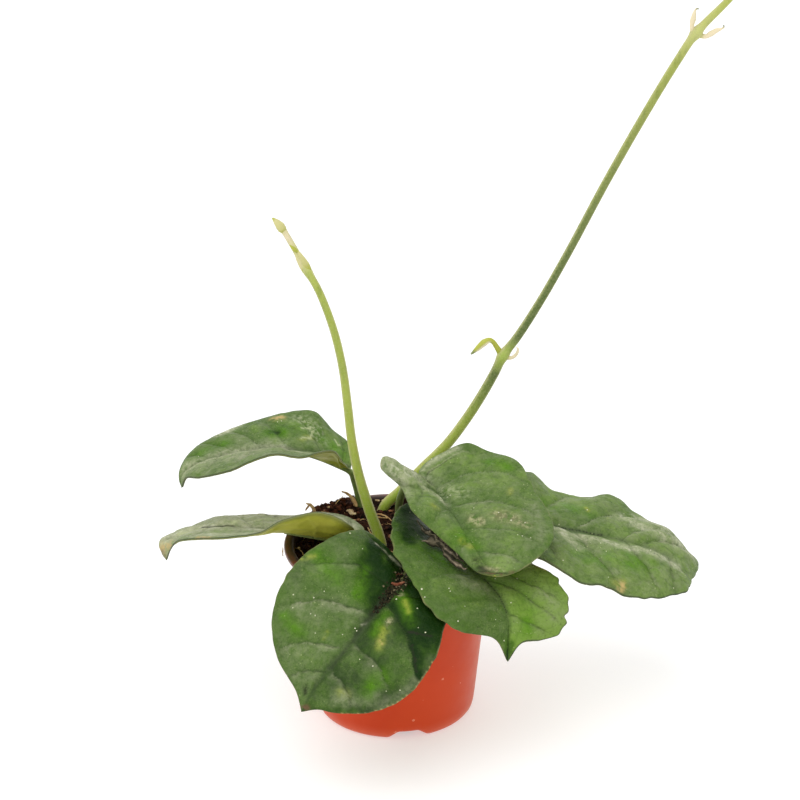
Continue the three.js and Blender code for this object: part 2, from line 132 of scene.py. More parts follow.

# Each leaf: points along its midrib and its two margins, from the petiole to the tip. Left and
# right are the leaf's own, and so are the halves in each pair. Belly lifts the middle of a half, as
# a share of its width, from base to tip. A vein is given by its place along the leaf at the
# midrib, half way out and near the margin, and may end in the strength of the pale flush on its
# tip side, partly painted sheen, and of the painted shade on its base side. Shade is how light the
# green is, partly the leaf's own tone and partly painted light and shade, haze how much grey bloom
# and painted sheen lies on it, and outline how dark the rim is. Bulge raises the panels between the
# veins, and vein_depth sinks the veins. Nicks in a margin have a place along it, a depth and a reach.
# Wrinkles are bands of fine folds with two ends and a reach. Wavy scales the waves of the margins,
# keel the midrib's height on the lower face and rib_depth its groove on the upper one: 1 unless
# given.
LEAVES = {
    "leaf_back_left": {
        "rib": [(-18.5, 28.5, 92.5), (-26.5, 27.5, 97), (-38, 26.5, 101.5), (-51, 25.5, 103.5),
                (-66.5, 24, 102), (-77, 22, 100), (-86.5, 20, 94.5), (-87.5, 19, 89)],
        "left": [(-21.5, 22, 99.5), (-25, 8, 111), (-31, 3, 112.5), (-37.5, 0, 112), (-48, -0.5, 113.5),
                 (-58, -1, 110.5), (-65.5, -0.5, 106.5), (-79.5, 7, 99.5), (-85, 14, 96)],
        "right": [(-17.5, 37, 95.5), (-19.5, 43, 98.5), (-26, 49, 101.5), (-33.5, 52, 108.5),
                  (-43.5, 52, 108.5), (-59, 48, 106), (-71, 43, 103.5), (-83.5, 34, 99.5),
                  (-88.5, 22, 95.5), (-88.5, 20, 91.5)],
        "belly": {"left": (-0.15, -0.1, -0.05, 0, 0), "right": (-0.05, 0, 0.05, 0.05, 0)},
        "veins": {"left": [(0.12, 0.13, 0.18), (0.3, 0.32, 0.37), (0.46, 0.48, 0.53), (0.62, 0.64, 0.69),
                           (0.77, 0.79, 0.82)],
                  "right": [(0.12, 0.14, 0.19, 0.2), (0.27, 0.35, 0.4, 0.2), (0.47, 0.5, 0.53, 0.3),
                            (0.59, 0.62, 0.67, 0.8), (0.7, 0.75, 0.78, 0.4), (0.82, 0.84, 0.87, 0.3)]},
        "vein_depth": (0.45, 0.45),
        "outline": (0.9, 0.7),
        "shade": (0.6, 0.55),
        "haze": (0.45, 0.22),
        "petiole": [(-15, 33, 61), (-15, 33, 71), (-15.5, 32.5, 79), (-17, 31, 86.5)],
        "petiole_radius": 1.35,
    },
    "leaf_left": {
        "rib": [(-17.5, -3, 76), (-28, -4, 78), (-38.5, -4.5, 80), (-52.5, -5, 82), (-67, -6, 83.5),
                (-77, -7, 83), (-87, -8, 80), (-94.5, -9, 77.5), (-92, -10, 70.5)],
        "left": [(-16.5, -15.5, 88), (-20, -20.5, 93.5), (-25.5, -21.5, 97), (-32.5, -23.5, 99),
                 (-39, -25, 98), (-45, -27, 97), (-53, -30, 93.5), (-66, -30.5, 91.5),
                 (-80.5, -24, 87.5), (-86.5, -19, 84), (-90, -12.5, 76.5)],
        "right": [(-12.5, 10.5, 74.5), (-20.5, 18.5, 76.5), (-33, 20, 77.5), (-42, 20.5, 75.5),
                  (-51.5, 21, 75.5), (-62.5, 19, 76), (-71, 17, 76.5), (-83.5, 9, 75.5),
                  (-89.5, 1, 76.5), (-94.5, -6, 77.5)],
        "belly": {"left": (-0.15, -0.15, -0.12, -0.05, 0), "right": (0, 0, 0.05, 0.05, 0)},
        "veins": {"left": [(0.13, 0.14, 0.18), (0.28, 0.3, 0.35), (0.45, 0.47, 0.52), (0.6, 0.62, 0.67),
                           (0.75, 0.77, 0.81)],
                  "right": [(0.12, 0.14, 0.19), (0.26, 0.29, 0.35), (0.42, 0.45, 0.5), (0.57, 0.6, 0.66),
                            (0.73, 0.76, 0.8)]},
        "keel": 0.2,
        "bulge": (0.25, 1.8),
        "vein_depth": (0.6, 0.6),
        "outline": (0.9, 0.2),
        "shade": (0.85, 0.85),
        "haze": (0.8, 0.8),
        "petiole": [(-9.5, -2, 60), (-10.5, -2, 70)],
        "petiole_radius": 1.5,
    },
    "leaf_front": {
        "rib": [(4.5, -30.5, 77), (0.5, -44, 76.5), (-7.6, -55.6, 71.6), (-15.4, -63.8, 64.5),
                (-25, -71.5, 55.8), (-31.5, -75.3, 47.8), (-36, -78.5, 40.5)],
        "left": [(11.5, -32.5, 77.5), (18, -42, 76), (23.5, -50.5, 71), (19.5, -61, 69), (15.5, -74, 61.5),
                 (5, -83, 50.5), (-9, -84.5, 43.8), (-23, -82.5, 42.4), (-30, -79.5, 42)],
        "right": [(-11, -19.5, 88.5), (-19.5, -25.5, 91.5), (-28, -32, 90.5), (-39, -40, 85),
                  (-46, -47.5, 75), (-48, -55, 65), (-45.5, -63.5, 55.5), (-38, -74, 46.5)],
        "belly": {"left": (0, 0.05, 0.05, 0.05, 0), "right": (-0.05, 0.05, 0.05, 0.05, 0)},
        "veins": {"left": [(0.2, 0.18, 0.2, 0.2), (0.35, 0.29, 0.29, 0.2), (0.41, 0.475, 0.57, 0.5, 1.0),
                           (0.66, 0.64, 0.69, 1.0), (0.8, 0.79, 0.82, 0.8)],
                  "right": [(0.18, 0.17, 0.2, 0.3), (0.32, 0.35, 0.47, 0.5), (0.51, 0.545, 0.63, 1.3),
                            (0.7, 0.72, 0.77, 1.2), (0.82, 0.84, 0.88, 0.6)]},
        "shade": (0.1, 0.34),
        "haze": (0.05, 0.2),
        "petiole": [(9, -12, 60), (9.5, -16, 70)],
        "petiole_radius": 1.5,
    },
    "leaf_top": {
        "rib": [(12, 9, 96.5), (16.5, 0, 96), (20.5, -12, 96), (27, -28, 93.5), (33, -42, 89),
                (37.5, -50, 86), (38.5, -54, 87)],
        "left": [(9.5, 12, 99), (12.5, 17, 101.5), (20, 21, 104.5), (29, 24, 107), (39, 20, 105),
                 (49.5, 11, 105), (56.5, -6, 99), (62.5, -22, 94.5), (61, -36, 91), (49, -49, 87),
                 (42, -53, 86.5)],
        "right": [(9, 6, 102), (2, 0.5, 108.5), (-4.5, -8, 116), (-5.5, -11.5, 112.5),
                  (2.5, -9.5, 102.5), (6.5, -22, 99), (14, -28, 93.5), (23.5, -39, 89.5),
                  (31.5, -49, 86)],
        "belly": {"left": (-0.05, 0, 0.05, 0.08, 0.05), "right": (-0.15, 0, 0.2, 0.2, 0.1)},
        "veins": {"left": [(0.04, 0.1, 0.27, 1.3), (0.22, 0.32, 0.48, 1), (0.47, 0.54, 0.67, 1),
                           (0.67, 0.72, 0.79, 0.6), (0.83, 0.85, 0.89, 0.8)],
                  "right": [(0.14, 0.2, 0.26), (0.32, 0.42, 0.56), (0.5, 0.6, 0.66), (0.76, 0.79, 0.82)]},
        "shade": (0.6, 0.55),
        "haze": (0.2, 0.15),
        "rib_depth": 0.35,
        "bulge": (0.8, 0.8),
        "vein_depth": (0.7, 0.4),
        "wrinkles": [((-5, -9, 115), (12, -4, 101), 7), ((12, -4, 101), (26, -8, 98), 4)],
        "petiole": [(2.5, 30, 62), (1.5, 30, 74), (3, 24, 84.5), (6, 18, 92)],
        "petiole_radius": 1.6,
    },
    "leaf_front_right": {
        "rib": [(14, -4, 76.5), (23, -16, 77), (32, -31, 76), (40.5, -44, 72.5), (44, -53, 66.5),
                (44, -57, 59), (44, -59, 51.5)],
        "left": [(22, 1, 82), (33, -4, 79.5), (45, -13, 77.5), (55.5, -25, 76.5), (65, -31, 73.5),
                 (66.5, -35, 71.5), (68, -38, 70), (68, -46, 63), (65, -49, 59), (58.5, -53, 58),
                 (49.5, -58, 59.5)],
        "right": [(8, 6, 84.5), (5, 2, 90.5), (0, -9, 91), (-1.5, -26, 89.5), (0, -35, 86.5),
                  (5, -46, 83), (15, -61.5, 74.5), (26, -65.5, 68.5), (39, -60, 62)],
        "belly": {"left": (0, 0, 0.05, 0.05, 0), "right": (-0.05, 0.1, 0.08, 0.05, 0)},
        "veins": {"left": [(0.14, 0.16, 0.2), (0.3, 0.33, 0.4), (0.46, 0.61, 0.66), (0.6, 0.7, 0.74),
                           (0.81, 0.8, 0.79)],
                  "right": [(0.15, 0.18, 0.22, 0.2), (0.32, 0.35, 0.4, 0.3), (0.58, 0.56, 0.59, 0.25),
                            (0.74, 0.7, 0.69, 0.2), (0.84, 0.81, 0.81, 0.2)]},
        "wavy": 2.5,
        "bulge": (1.3, 0.35),
        "vein_depth": (1.0, 0.25),
        "nicks": {"left": [(0.575, 0.05, 0.02), (0.708, 0.06, 0.012)]},
        "outline": (1.0, 0.15),
        "shade": (1.05, 0.45),
        "haze": (0.1, 0.12),
        "petiole": [(6, 9, 60), (7, 7.5, 69)],
        "petiole_radius": 1.5,
    },
    "leaf_right": {
        "rib": [(36.5, -1, 84.5), (50.5, 0, 83), (64.5, 0, 80.5), (79.5, -1, 77.5), (95, -3, 75),
                (107, -5, 71), (116.5, -7, 63.5), (120, -8, 59)],
        "left": [(34.5, 8.5, 86.5), (42, 20.5, 88.5), (55, 29, 91.5), (65, 30, 83), (79.5, 30, 79.5),
                 (89.5, 29.5, 81), (101, 22, 75), (112, 14, 73), (118.5, 11.5, 66.5),
                 (124.5, 10.5, 59)],
        "right": [(33.5, -9, 86), (37.5, -20.5, 87.5), (45.5, -27, 87), (58, -31.5, 82.5),
                  (67.5, -34, 77), (74.5, -34.5, 73), (82.5, -34, 72), (91, -33.5, 67),
                  (104, -28.5, 63.5), (117.5, -16.5, 60)],
        "belly": {"left": (0, 0, 0.05, 0.05, 0), "right": (0, 0.05, 0.05, 0.08, 0)},
        "veins": {"left": [(0.14, 0.18, 0.22), (0.31, 0.37, 0.42, 1.3), (0.51, 0.58, 0.69, 1.7),
                           (0.7, 0.71, 0.76, 1.6), (0.77, 0.78, 0.83, 1.0)],
                  "right": [(0.17, 0.19, 0.24), (0.34, 0.37, 0.43, 0.8), (0.51, 0.57, 0.66, 1.2),
                            (0.71, 0.77, 0.79), (0.88, 0.87, 0.87)]},
        "bulge": (2.0, 1.9),
        "wavy": 3,
        "nicks": {"left": [(0.685, 0.04, 0.03), (0.83, 0.03, 0.02), (0.978, 0.2, 0.01)],
                  "right": [(0.955, 0.08, 0.012)]},
        "vein_depth": (0.8, 0.8),
        "outline": (0.3, 1.0),
        "shade": (0.68, 0.66),
        "haze": (0.28, 0.3),
        "petiole": [(17, 16, 60), (19, 15, 72), (27, 8, 82)],
        "petiole_radius": 1.5,
    },
}

# Kinds of marks on the leaves, and where each leaf has them: streaks from one place to another, in
# shares along the leaf and across it, where minus is the leaf's left. Their half width in
# millimetres follows, and their strength if it isn't 1.
# Of these, the deep kind is darker green and painted shade, the crease kind painted shade in folds, and the
# silver and bloom kinds partly real markings and partly painted sheen
SPOT_KINDS = ("tan", "brown", "pale", "silver", "bloom", "yellow", "fresh", "deep", "dark", "scab", "line",
              "crease")
SPOTS = {
    "leaf_back_left": {
        "tan": [(0.455, 0.82, 0.48, 0.83, 2.0)],
        "pale": [(0.29, 0.42, 0.38, 0.75, 4.5)],
        "silver": [(0.62, 0.95, 0.7, 0.9, 3), (0.25, -0.85, 0.5, 0.05, 1.8), (0.5, 0, 0.92, -0.1, 4.5)],
        "bloom": [(0.5, 0, 0.7, -0.5, 5)],
        "yellow": [(0.33, 0.3, 0.37, 0.34, 0.9), (0.4, 0.2, 0.34, 0.32, 1.2)],
        "fresh": [(0.4, 0.5, 0.52, 0.4, 5), (0.15, 0.4, 0.28, 0.5, 5), (0.72, 0.4, 0.82, 0.5, 4)],
        "deep": [(0.48, 0.4, 0.52, 0.42, 2)],
        "line": [(0.21, 0.66, 0.19, 0.54, 0.45), (0.19, 0.54, 0.175, 0.62, 0.4),
                 (0.39, 0.26, 0.34, 0.3, 0.45), (0.345, 0.28, 0.33, 0.5, 0.4),
                 (0.38, 0.5, 0.33, 0.56, 0.4)],
    },
    "leaf_left": {
        "tan": [(0.71, -0.97, 0.75, -0.97, 1.6), (0.56, 0.9, 0.54, 0.95, 1.0),
                (0.91, -0.85, 0.95, -0.2, 2.0, 0.8)],
        "brown": [(0.96, -0.2, 1.0, 0.0, 2.0, 0.5)],
        "silver": [(0.2, 0.6, 0.6, 0.7, 10), (0.45, -0.1, 0.95, 0.1, 7), (0.58, -0.6, 0.75, -0.7, 4),
                   (0.3, 0.8, 0.5, 0.8, 4)],
        "bloom": [(0.2, 0.3, 0.9, 0.3, 14)],
        "yellow": [(0.9, 0.2, 0.98, 0.1, 4)],
        "deep": [(0.61, 0.8, 0.58, 0.9, 1.8), (0.14, 0.72, 0.22, 0.86, 3)],
        "dark": [(0.5, 0.6, 0.46, 0.75, 0.9)],
        "line": [(0.86, 0.1, 0.74, -0.08, 0.8), (0.74, -0.08, 0.67, 0.0, 0.7),
                 (0.67, 0.0, 0.61, 0.2, 0.7), (0.61, 0.2, 0.4, 0.42, 0.8), (0.64, 0.97, 0.4, 0.98, 0.9)],
        "crease": [(0.765, 0.03, 0.7, 0.03, 0.6, 0.9), (0.7, 0.03, 0.65, 0.03, 0.8, 0.9)],
    },
    "leaf_front": {
        "tan": [(0.57, -0.3, 0.575, -0.32, 0.8), (0.5, -1.0, 0.86, -1.0, 0.5)],
        "brown": [(0.97, -0.6, 0.99, 0.6, 1.3)],
        "silver": [(0.2, 0.68, 0.1, 0.15, 0.9), (0.57, 0.03, 0.555, 0.0, 0.5)],
        "bloom": [(0.5, -0.98, 0.72, -0.96, 3.5), (0.7, -0.9, 0.85, -0.6, 3.5)],
        "yellow": [(0.53, -0.26, 0.59, -0.33, 2.2), (0.36, -0.28, 0.4, -0.42, 1.1),
                   (0.66, 0.3, 0.69, 0.3, 0.9), (0.8, -0.6, 0.82, -0.5, 1.8),
                   (0.46, 0.99, 0.43, 0.9, 1.2)],
        "fresh": [(0.47, -0.16, 0.56, -0.16, 3), (0.34, -0.2, 0.43, -0.5, 3),
                  (0.36, 0.4, 0.47, 0.25, 3.5), (0.66, 0.85, 0.7, 0.6, 3), (0.42, 0.85, 0.45, 0.55, 5),
                  (0.66, -0.6, 0.74, -0.7, 3.5)],
        # Painted shadow: the deep streaks darken mostly where the leaves above shade this one
        "deep": [(0.12, -0.1, 0.4, -0.75, 12), (0.05, 0.35, 0.22, 0.6, 7), (0.22, 0.6, 0.42, 0.12, 7),
                 (0.18, 0.3, 0.36, 0.12, 6), (0.3, -0.85, 0.4, -0.7, 5)],
        "dark": [(0.1, 0.04, 0.5, 0.0, 2.6), (0.9, 0.35, 0.93, 0.3, 1.2)],
        "scab": [(0.475, -0.22, 0.5, -0.26, 1.3), (0.34, -0.14, 0.33, -0.18, 0.9)],
        "crease": [(0.3, 0.02, 0.48, 0.0, 1.0), (0.47, -0.53, 0.43, -0.85, 0.5),
                   (0.5, -0.66, 0.56, -0.9, 0.5), (0.47, 0.0, 0.62, 0.01, 1.1, 0.5),
                   (0.62, 0.01, 0.79, -0.03, 0.9, 0.4)],
    },
    "leaf_top": {
        "brown": [(0.93, 1.0, 0.985, 0.6, 0.8), (0.985, 0.5, 0.985, -0.6, 1.1),
                  (0.985, -0.8, 0.94, -1.0, 0.9)],
        "pale": [(0.3, -0.1, 0.42, -0.2, 4.5)],
        "silver": [(0.25, 0.6, 0.42, 0.97, 9), (0.12, 0.5, 0.28, 0.9, 8), (0.25, 0.5, 0.45, 0.1, 3),
                   (0.06, -0.8, 0.2, -0.9, 2)],
        "bloom": [(0.6, -0.85, 0.76, -0.85, 3)],
        "yellow": [(0.51, -0.72, 0.53, -0.7, 1.4), (0.54, 0.5, 0.56, 0.45, 1.5),
                   (0.76, 0.35, 0.8, 0.2, 1.8)],
        "fresh": [(0.72, 0.4, 0.8, 0.1, 4.5), (0.34, -0.8, 0.42, -0.85, 3)],
        "dark": [(0.885, 0.5, 0.95, 0.55, 2.6), (0.93, 0.95, 0.97, 0.6, 0.9),
                 (0.985, -0.3, 0.96, -0.9, 0.7)],
        "scab": [(0.62, -0.14, 0.65, -0.2, 2.8), (0.63, -0.42, 0.66, -0.56, 3.6),
                 (0.69, -0.62, 0.7, -0.7, 2.2), (0.93, 0.3, 0.95, -0.5, 1.6)],
        "line": [(0.08, -0.5, 0.15, -0.62, 0.4, 0.5), (0.15, -0.62, 0.23, -0.81, 0.35, 0.5)],
        "crease": [(0.09, -0.42, 0.21, -0.66, 0.45, 0.6)],
    },
    "leaf_front_right": {
        "tan": [(0.45, -0.95, 0.5, -0.97, 1.0)],
        # Painted light: the bloom and fresh streaks from (0.6, 0) to (0.6, -0.45) lighten the shadow that
        # leaf_top casts there, and the deep streaks near the base are painted shadow of leaf_top
        "bloom": [(0.62, 0.3, 0.68, 0.1, 5), (0.66, -0.7, 0.72, -0.9, 4), (0.48, -0.3, 0.5, -0.75, 3),
                  (0.64, 0.05, 0.6, -0.45, 4)],
        "yellow": [(0.44, 0.28, 0.5, 0.22, 1.4)],
        "fresh": [(0.72, -0.3, 0.85, -0.5, 5), (0.5, -0.6, 0.55, -0.4, 4), (0.4, 0.45, 0.5, 0.3, 4),
                  (0.63, 0, 0.6, -0.45, 4)],
        "deep": [(0.02, 0.2, 0.42, 0.4, 9), (0.93, -0.3, 0.98, -0.2, 2.5), (0.1, 0.8, 0.34, 0.78, 8),
                 (0.3, 0.45, 0.37, 0.44, 5), (0.2, 0.9, 0.32, 0.6, 7), (0.36, 0.8, 0.4, 0.75, 4)],
        "crease": [(0.6, 0.0, 0.8, 0.0, 0.35)],
    },
    "leaf_right": {
        "tan": [(0.645, 0.95, 0.66, 0.85, 1.8)],
        "silver": [(0.42, 0.14, 0.7, 0.17, 2.6), (0.7, 0.17, 0.92, 0.12, 3), (0.62, -0.6, 0.8, -0.6, 3.5),
                   (0.45, 0.25, 0.5, 0.4, 3), (0.66, -0.88, 0.85, -0.85, 4)],
        "yellow": [(0.63, 0.9, 0.66, 0.84, 2.6), (0.455, -0.97, 0.47, -0.9, 0.8),
                   (0.5, -0.5, 0.52, -0.42, 0.7), (0.58, -0.4, 0.59, -0.36, 0.7)],
        "fresh": [(0.35, -0.5, 0.5, -0.4, 6), (0.5, 0.6, 0.62, 0.5, 5), (0.7, 0.35, 0.78, 0.45, 5),
                  (0.6, 0.55, 0.72, 0.5, 6)],
        "crease": [(0.34, 0.0, 0.62, -0.02, 0.7)],
    },
}

# White flecks of lime on the leaves: (along, across) place and size in millimetres
FLECKS = {
    "leaf_front": [(0.27, 0.94, 0.5), (0.29, 0.65, 0.4), (0.56, 0.62, 0.45), (0.62, 0.56, 0.35),
                   (0.615, 0.5, 0.35), (0.6, 0.06, 0.45), (0.605, 0.035, 0.4), (0.68, -0.25, 0.4),
                   (0.66, -0.44, 0.45), (0.64, -0.9, 0.35), (0.65, 0.13, 0.35), (0.37, -0.15, 0.6)],
    "leaf_top": [(0.67, -0.53, 0.55), (0.75, -0.62, 0.5), (0.69, -0.68, 0.4), (0.76, -0.72, 0.35),
                 (0.55, -0.22, 0.35), (0.38, -0.06, 0.45), (0.39, -0.1, 0.35), (0.62, -0.45, 0.35)],
    "leaf_front_right": [(0.61, 0.96, 0.6), (0.635, 0.63, 0.5), (0.645, 0.62, 0.4), (0.64, 0.97, 0.4),
                         (0.76, 0.87, 0.4), (0.58, -0.45, 0.4)],
    "leaf_back_left": [(0.46, 0.7, 0.4), (0.84, 0.35, 0.45), (0.6, -0.5, 0.35)],
    "leaf_right": [(0.51, -0.44, 0.4), (0.6, 0.25, 0.45), (0.8, 0.1, 0.4), (0.86, 0.85, 0.4)],
    "leaf_left": [(0.5, -0.7, 0.35)],
}

# The dead, dried part of leaf_top's margin that hangs under it: strips with a radius at each point
WITHERED = [
    ([(8.5, -22, 94.5), (12, -25, 91.5), (17, -28.5, 90), (21, -32.5, 89.5), (24.5, -37, 87)],
     [0.3, 1.2, 1.9, 1.6, 0.3]),
    ([(13.5, -27, 92.5), (18.5, -31, 88.5), (22.5, -34.5, 86), (26.5, -37, 83.8)],
     [0.5, 1.5, 1.6, 0.3]),
    ([(18, -33, 88), (22, -37, 84.5), (25.5, -39.5, 83.2), (28, -41.5, 82.8)], [0.4, 1.2, 1.2, 0.3]),
    ([(10.5, -28.5, 88), (13.5, -28.5, 88.5), (16.5, -30, 88.5), (19.5, -32, 88)], [0.2, 1.3, 1.7, 0.5]),
]

# A shoot is a list of points with a radius at each. A node is the number of the point where the
# shoot swells, how much, and how far along. Tone, blush, stripe and core colour the shoot at its
# points, the last two along the middle of its front and back.
VINES = {
    "vine_tall": {
        "points": [(-7.5, 34, 60), (-4.5, 33, 73.5), (2, 33.5, 80.5), (11.5, 33.8, 91), (21.3, 33.8, 101.7),
                   (28.8, 33.1, 112.9), (35.1, 32.4, 124), (40.6, 31.6, 135.2), (43.8, 31, 142.8),
                   (49.5, 30.5, 151.3), (58.5, 29.3, 167.5), (69, 27.5, 189), (83.2, 25, 220),
                   (98, 22.5, 250.2), (108.4, 20.9, 270), (115, 20, 281.2), (126.5, 18.2, 294.7),
                   (134, 18, 304), (139, 18, 314), (141.7, 18, 325), (142, 18, 334)],
        "radii": [2.2, 2.2, 2.1, 2.1, 2.1, 2.05, 2, 1.95, 1.85, 1.75, 1.65, 1.6, 1.6, 1.6, 1.6, 1.6, 1.35,
                  1.25, 1.15, 1.6, 0.4],
        "nodes": [(8, 0.6, 2.6), (15, 0.75, 2.4)],
        "tone": [0.1, 0.1, 0.1, 0.15, 0.2, 0.35, 0.6, 1, 0.3, 1, 1, 0.88, 0.68, 0.5, 0.35, 0.2, 0.2, 0.2,
                 0.2, 0.2, 0.2],
        "blush": [0, 0, 0, 0, 0, 0, 0, 0, 0.1, 0, 0, 0, 0, 0, 0, 0.25, 0, 0, 0.1, 0.3, 0.5],
        "stripe": [0, 0, 0, 0, 0.1, 0.3, 0.7, 1, 0, 1, 1, 0.9, 0.6, 0.35, 0.25, 0, 0.2, 0.2, 0.1, 0, 0],
        "core": [1, 1, 1, 0.8, 0.7, 0.5, 0.2, 0, 1, 0, 0, 0, 0, 0, 0, 0.3, 0, 0, 0, 0, 0],
        "hairs": 2600,
        "hair_length": 0.5,
    },
    "vine_short": {
        "points": [(-3, 3, 56), (-6.5, 4, 74), (-10.7, 4.6, 87), (-14.7, 5.5, 101.7), (-17.3, 6, 116),
                   (-18.9, 6, 132), (-20.6, 6, 147), (-23.3, 6, 161), (-26.5, 6, 172), (-30.3, 6, 182),
                   (-34, 6, 189), (-36.7, 6, 194), (-39, 6, 198.5), (-41.8, 6, 203.7), (-43.6, 6, 206.8),
                   (-47.4, 6, 211.3)],
        "radii": [2.3, 2.3, 2.2, 2, 1.85, 1.75, 1.65, 1.6, 1.55, 1.5, 1.5, 1.25, 1.2, 1.2, 1.1, 0.25],
        "nodes": [(10, 0.35, 2), (14, 0.3, 1.6)],
        "tone": [0.2, 0.2, 0.1, 0.05, 0.05, 0.15, 0.25, 0.3, 0.3, 0.3, 0.1, 0.1, 0.1, 0.1, 0.1, 0.1],
        "blush": [0, 0, 0, 0, 0, 0, 0, 0, 0, 0, 0.1, 0.6, 0.4, 0.95, 0.6, 0.3],
        "stripe": [0.1, 0.1, 0.1, 0.1, 0.2, 0.2, 0.2, 0.2, 0.2, 0.1, 0, 0, 0, 0, 0, 0],
        "core": [1, 1, 1, 0.6, 0.45, 0.4, 0.35, 0.35, 0.35, 0.3, 0.5, 0, 0, 0, 0, 0],
        "hairs": 2600,
        "hair_length": 0.75,
    },
}

# Small leaves at the shoots' nodes. Cream is the angle of the side that is cream, if one is.
LEAFLETS = {
    "vine_tall": [
        {"points": [(43.3, 30.8, 142.8), (42.3, 30.4, 144.8), (41, 30, 147.1), (39.7, 29.5, 149.2),
                    (38.1, 29, 150.2), (36.1, 28.5, 149.3), (33.5, 28, 147.1), (30.7, 27.5, 144.8)],
         "radii": [1.5, 1.25, 1.05, 0.95, 1.1, 1.55, 1.2, 0.35], "fold": 0.4, "flatness": 0.35,
         "tone": (0.0, 0.12, 0.15, 0.2), "cream": math.pi, "tip": 1},
        {"points": [(44.3, 30.8, 142.6), (45.6, 30.4, 142.1), (47.3, 29.9, 142.3), (48.7, 29.5, 143.5),
                    (49.6, 29.2, 145.3), (49.6, 29, 146.7), (48.9, 28.8, 147.3)],
         "radii": [1.3, 0.9, 0.75, 0.75, 0.6, 0.4, 0.15], "flatness": 0.5, "tone": (0.1, 0.6, 0.7, 0.85)},
        {"points": [(114.6, 19.8, 280.6), (113.7, 19.4, 282), (113.2, 19, 284.3), (113.5, 18.7, 286.7),
                    (113.8, 18.4, 289.1), (114.1, 18.2, 290.6), (114.7, 18.1, 291.3), (115.4, 18, 291.2)],
         "radii": [1.5, 1.0, 0.85, 1.15, 0.8, 0.4, 0.35, 0.2], "fold": 0.2, "tone": (0.1, 0.7, 0.85, 1)},
        {"points": [(115.6, 19.8, 280.8), (117, 19.7, 280.2), (118.8, 19.4, 280), (120.6, 19.2, 281.1),
                    (122.8, 19, 282.5), (124.5, 18.8, 283.2), (125.3, 18.7, 283.9), (125.2, 18.6, 284.8)],
         "radii": [1.5, 1.0, 0.85, 1.15, 0.9, 0.4, 0.35, 0.2], "fold": 0.2, "tone": (0.1, 0.7, 0.85, 1)},
    ],
    "vine_short": [
        {"points": [(-33.6, 5.2, 190), (-34.5, 4.8, 192.2), (-35.8, 4.5, 194.8), (-37.1, 4.6, 197),
                    (-38.3, 4.9, 198.9)],
         "radii": [1.2, 1.35, 1.05, 0.7, 0.2], "fold": 0.2, "tone": (0.15, 0.34, 0.4, 0.25)},
        {"points": [(-34.9, 5.6, 189), (-36.2, 5.2, 191.6), (-37.7, 5.2, 194.4), (-39, 5.4, 197.2)],
         "radii": [1.1, 1.15, 0.8, 0.2], "fold": 0.2, "tone": (0.2, 0.42, 0.45, 0.3)},
        {"points": [(-37.9, 4.9, 197.6), (-38.8, 4.6, 198.6), (-39.8, 4.6, 199.6), (-40.8, 4.9, 200.4)],
         "radii": [0.5, 0.85, 0.6, 0.2], "flatness": 0.7, "tone": (0.05, 0.05, 0.1, 0.2)},
        {"points": [(-42.9, 5.8, 205.4), (-43.6, 5.7, 206.7), (-44.5, 5.7, 208.1), (-45.9, 5.8, 209.8),
                    (-47.4, 6, 211.3)],
         "radii": [0.9, 1.75, 1.8, 1.25, 0.3], "flatness": 0.8, "tone": (0.2, 0.36, 0.4, 0.15)},
    ],
}


def srgb(red, green, blue):
    """Linear colour of an 8-bit one"""
    linear = [((c / 255 + 0.055) / 1.055) ** 2.4 if c > 10 else c / 255 / 12.92 for c in (red, green, blue)]
    return (*linear, 1.0)


def smooth_step(low, high, value):
    """Smooth rise from 0 to 1, or fall if low is over high"""
    share = np.clip((value - low) / (high - low), 0, 1)
    return share * share * (3 - 2 * share)


def unit(vectors):
    """Vectors of length 1 that point the same way"""
    return vectors / np.maximum(np.linalg.norm(vectors, axis=-1, keepdims=True), 1e-9)


def polar(radius, angle):
    """The x and y of a place round the upright axis"""
    return radius * math.cos(angle), radius * math.sin(angle)


def ripples(points, wavelength, seed, waves=10):
    """Smooth random height between about -1 and 1 at each point"""
    rng = np.random.default_rng(seed)
    total = np.zeros(points.shape[:-1])
    for _ in range(waves):
        direction = unit(rng.normal(size=3)) * rng.uniform(0.6, 1.6) * TURN / wavelength
        total += np.sin(points @ direction + rng.uniform(0, TURN))
    return total / math.sqrt(waves)


def cell_edges(points, spacing, seed):
    """How far each point is from the border between two cells of a random net"""
    rng = np.random.default_rng(seed)
    flat = points.reshape(-1, 3)
    centres = []
    for candidate in flat[rng.permutation(len(flat))[:3000]]:
        if all(np.sum((candidate - centre) ** 2) > spacing ** 2 for centre in centres):
            centres.append(candidate)
    nearest = np.full(len(flat), np.inf)
    second = np.full(len(flat), np.inf)
    for centre in centres:
        distance = np.linalg.norm(flat - centre, axis=1)
        second = np.minimum(second, np.maximum(distance, nearest))
        nearest = np.minimum(nearest, distance)
    return (second - nearest).reshape(points.shape[:-1])


def ring_faces(rings, sides):
    """Faces of a closed skin. They run between its rings of points, and from its first and its last
    ring to the two points that follow the rings."""
    faces = []
    for ring in range(rings - 1):
        for k in range(sides):
            here, after = ring * sides + k, ring * sides + (k + 1) % sides
            faces.append((here, after, after + sides, here + sides))
    foot = rings * sides
    for k in range(sides):
        after = (k + 1) % sides
        faces.append((foot, after, k))
        faces.append((foot + 1, foot - sides + k, foot - sides + after))
    return faces


def link(name, data):
    """New object in the scene"""
    thing = bpy.data.objects.new(name, data)
    bpy.context.scene.collection.objects.link(thing)
    return thing


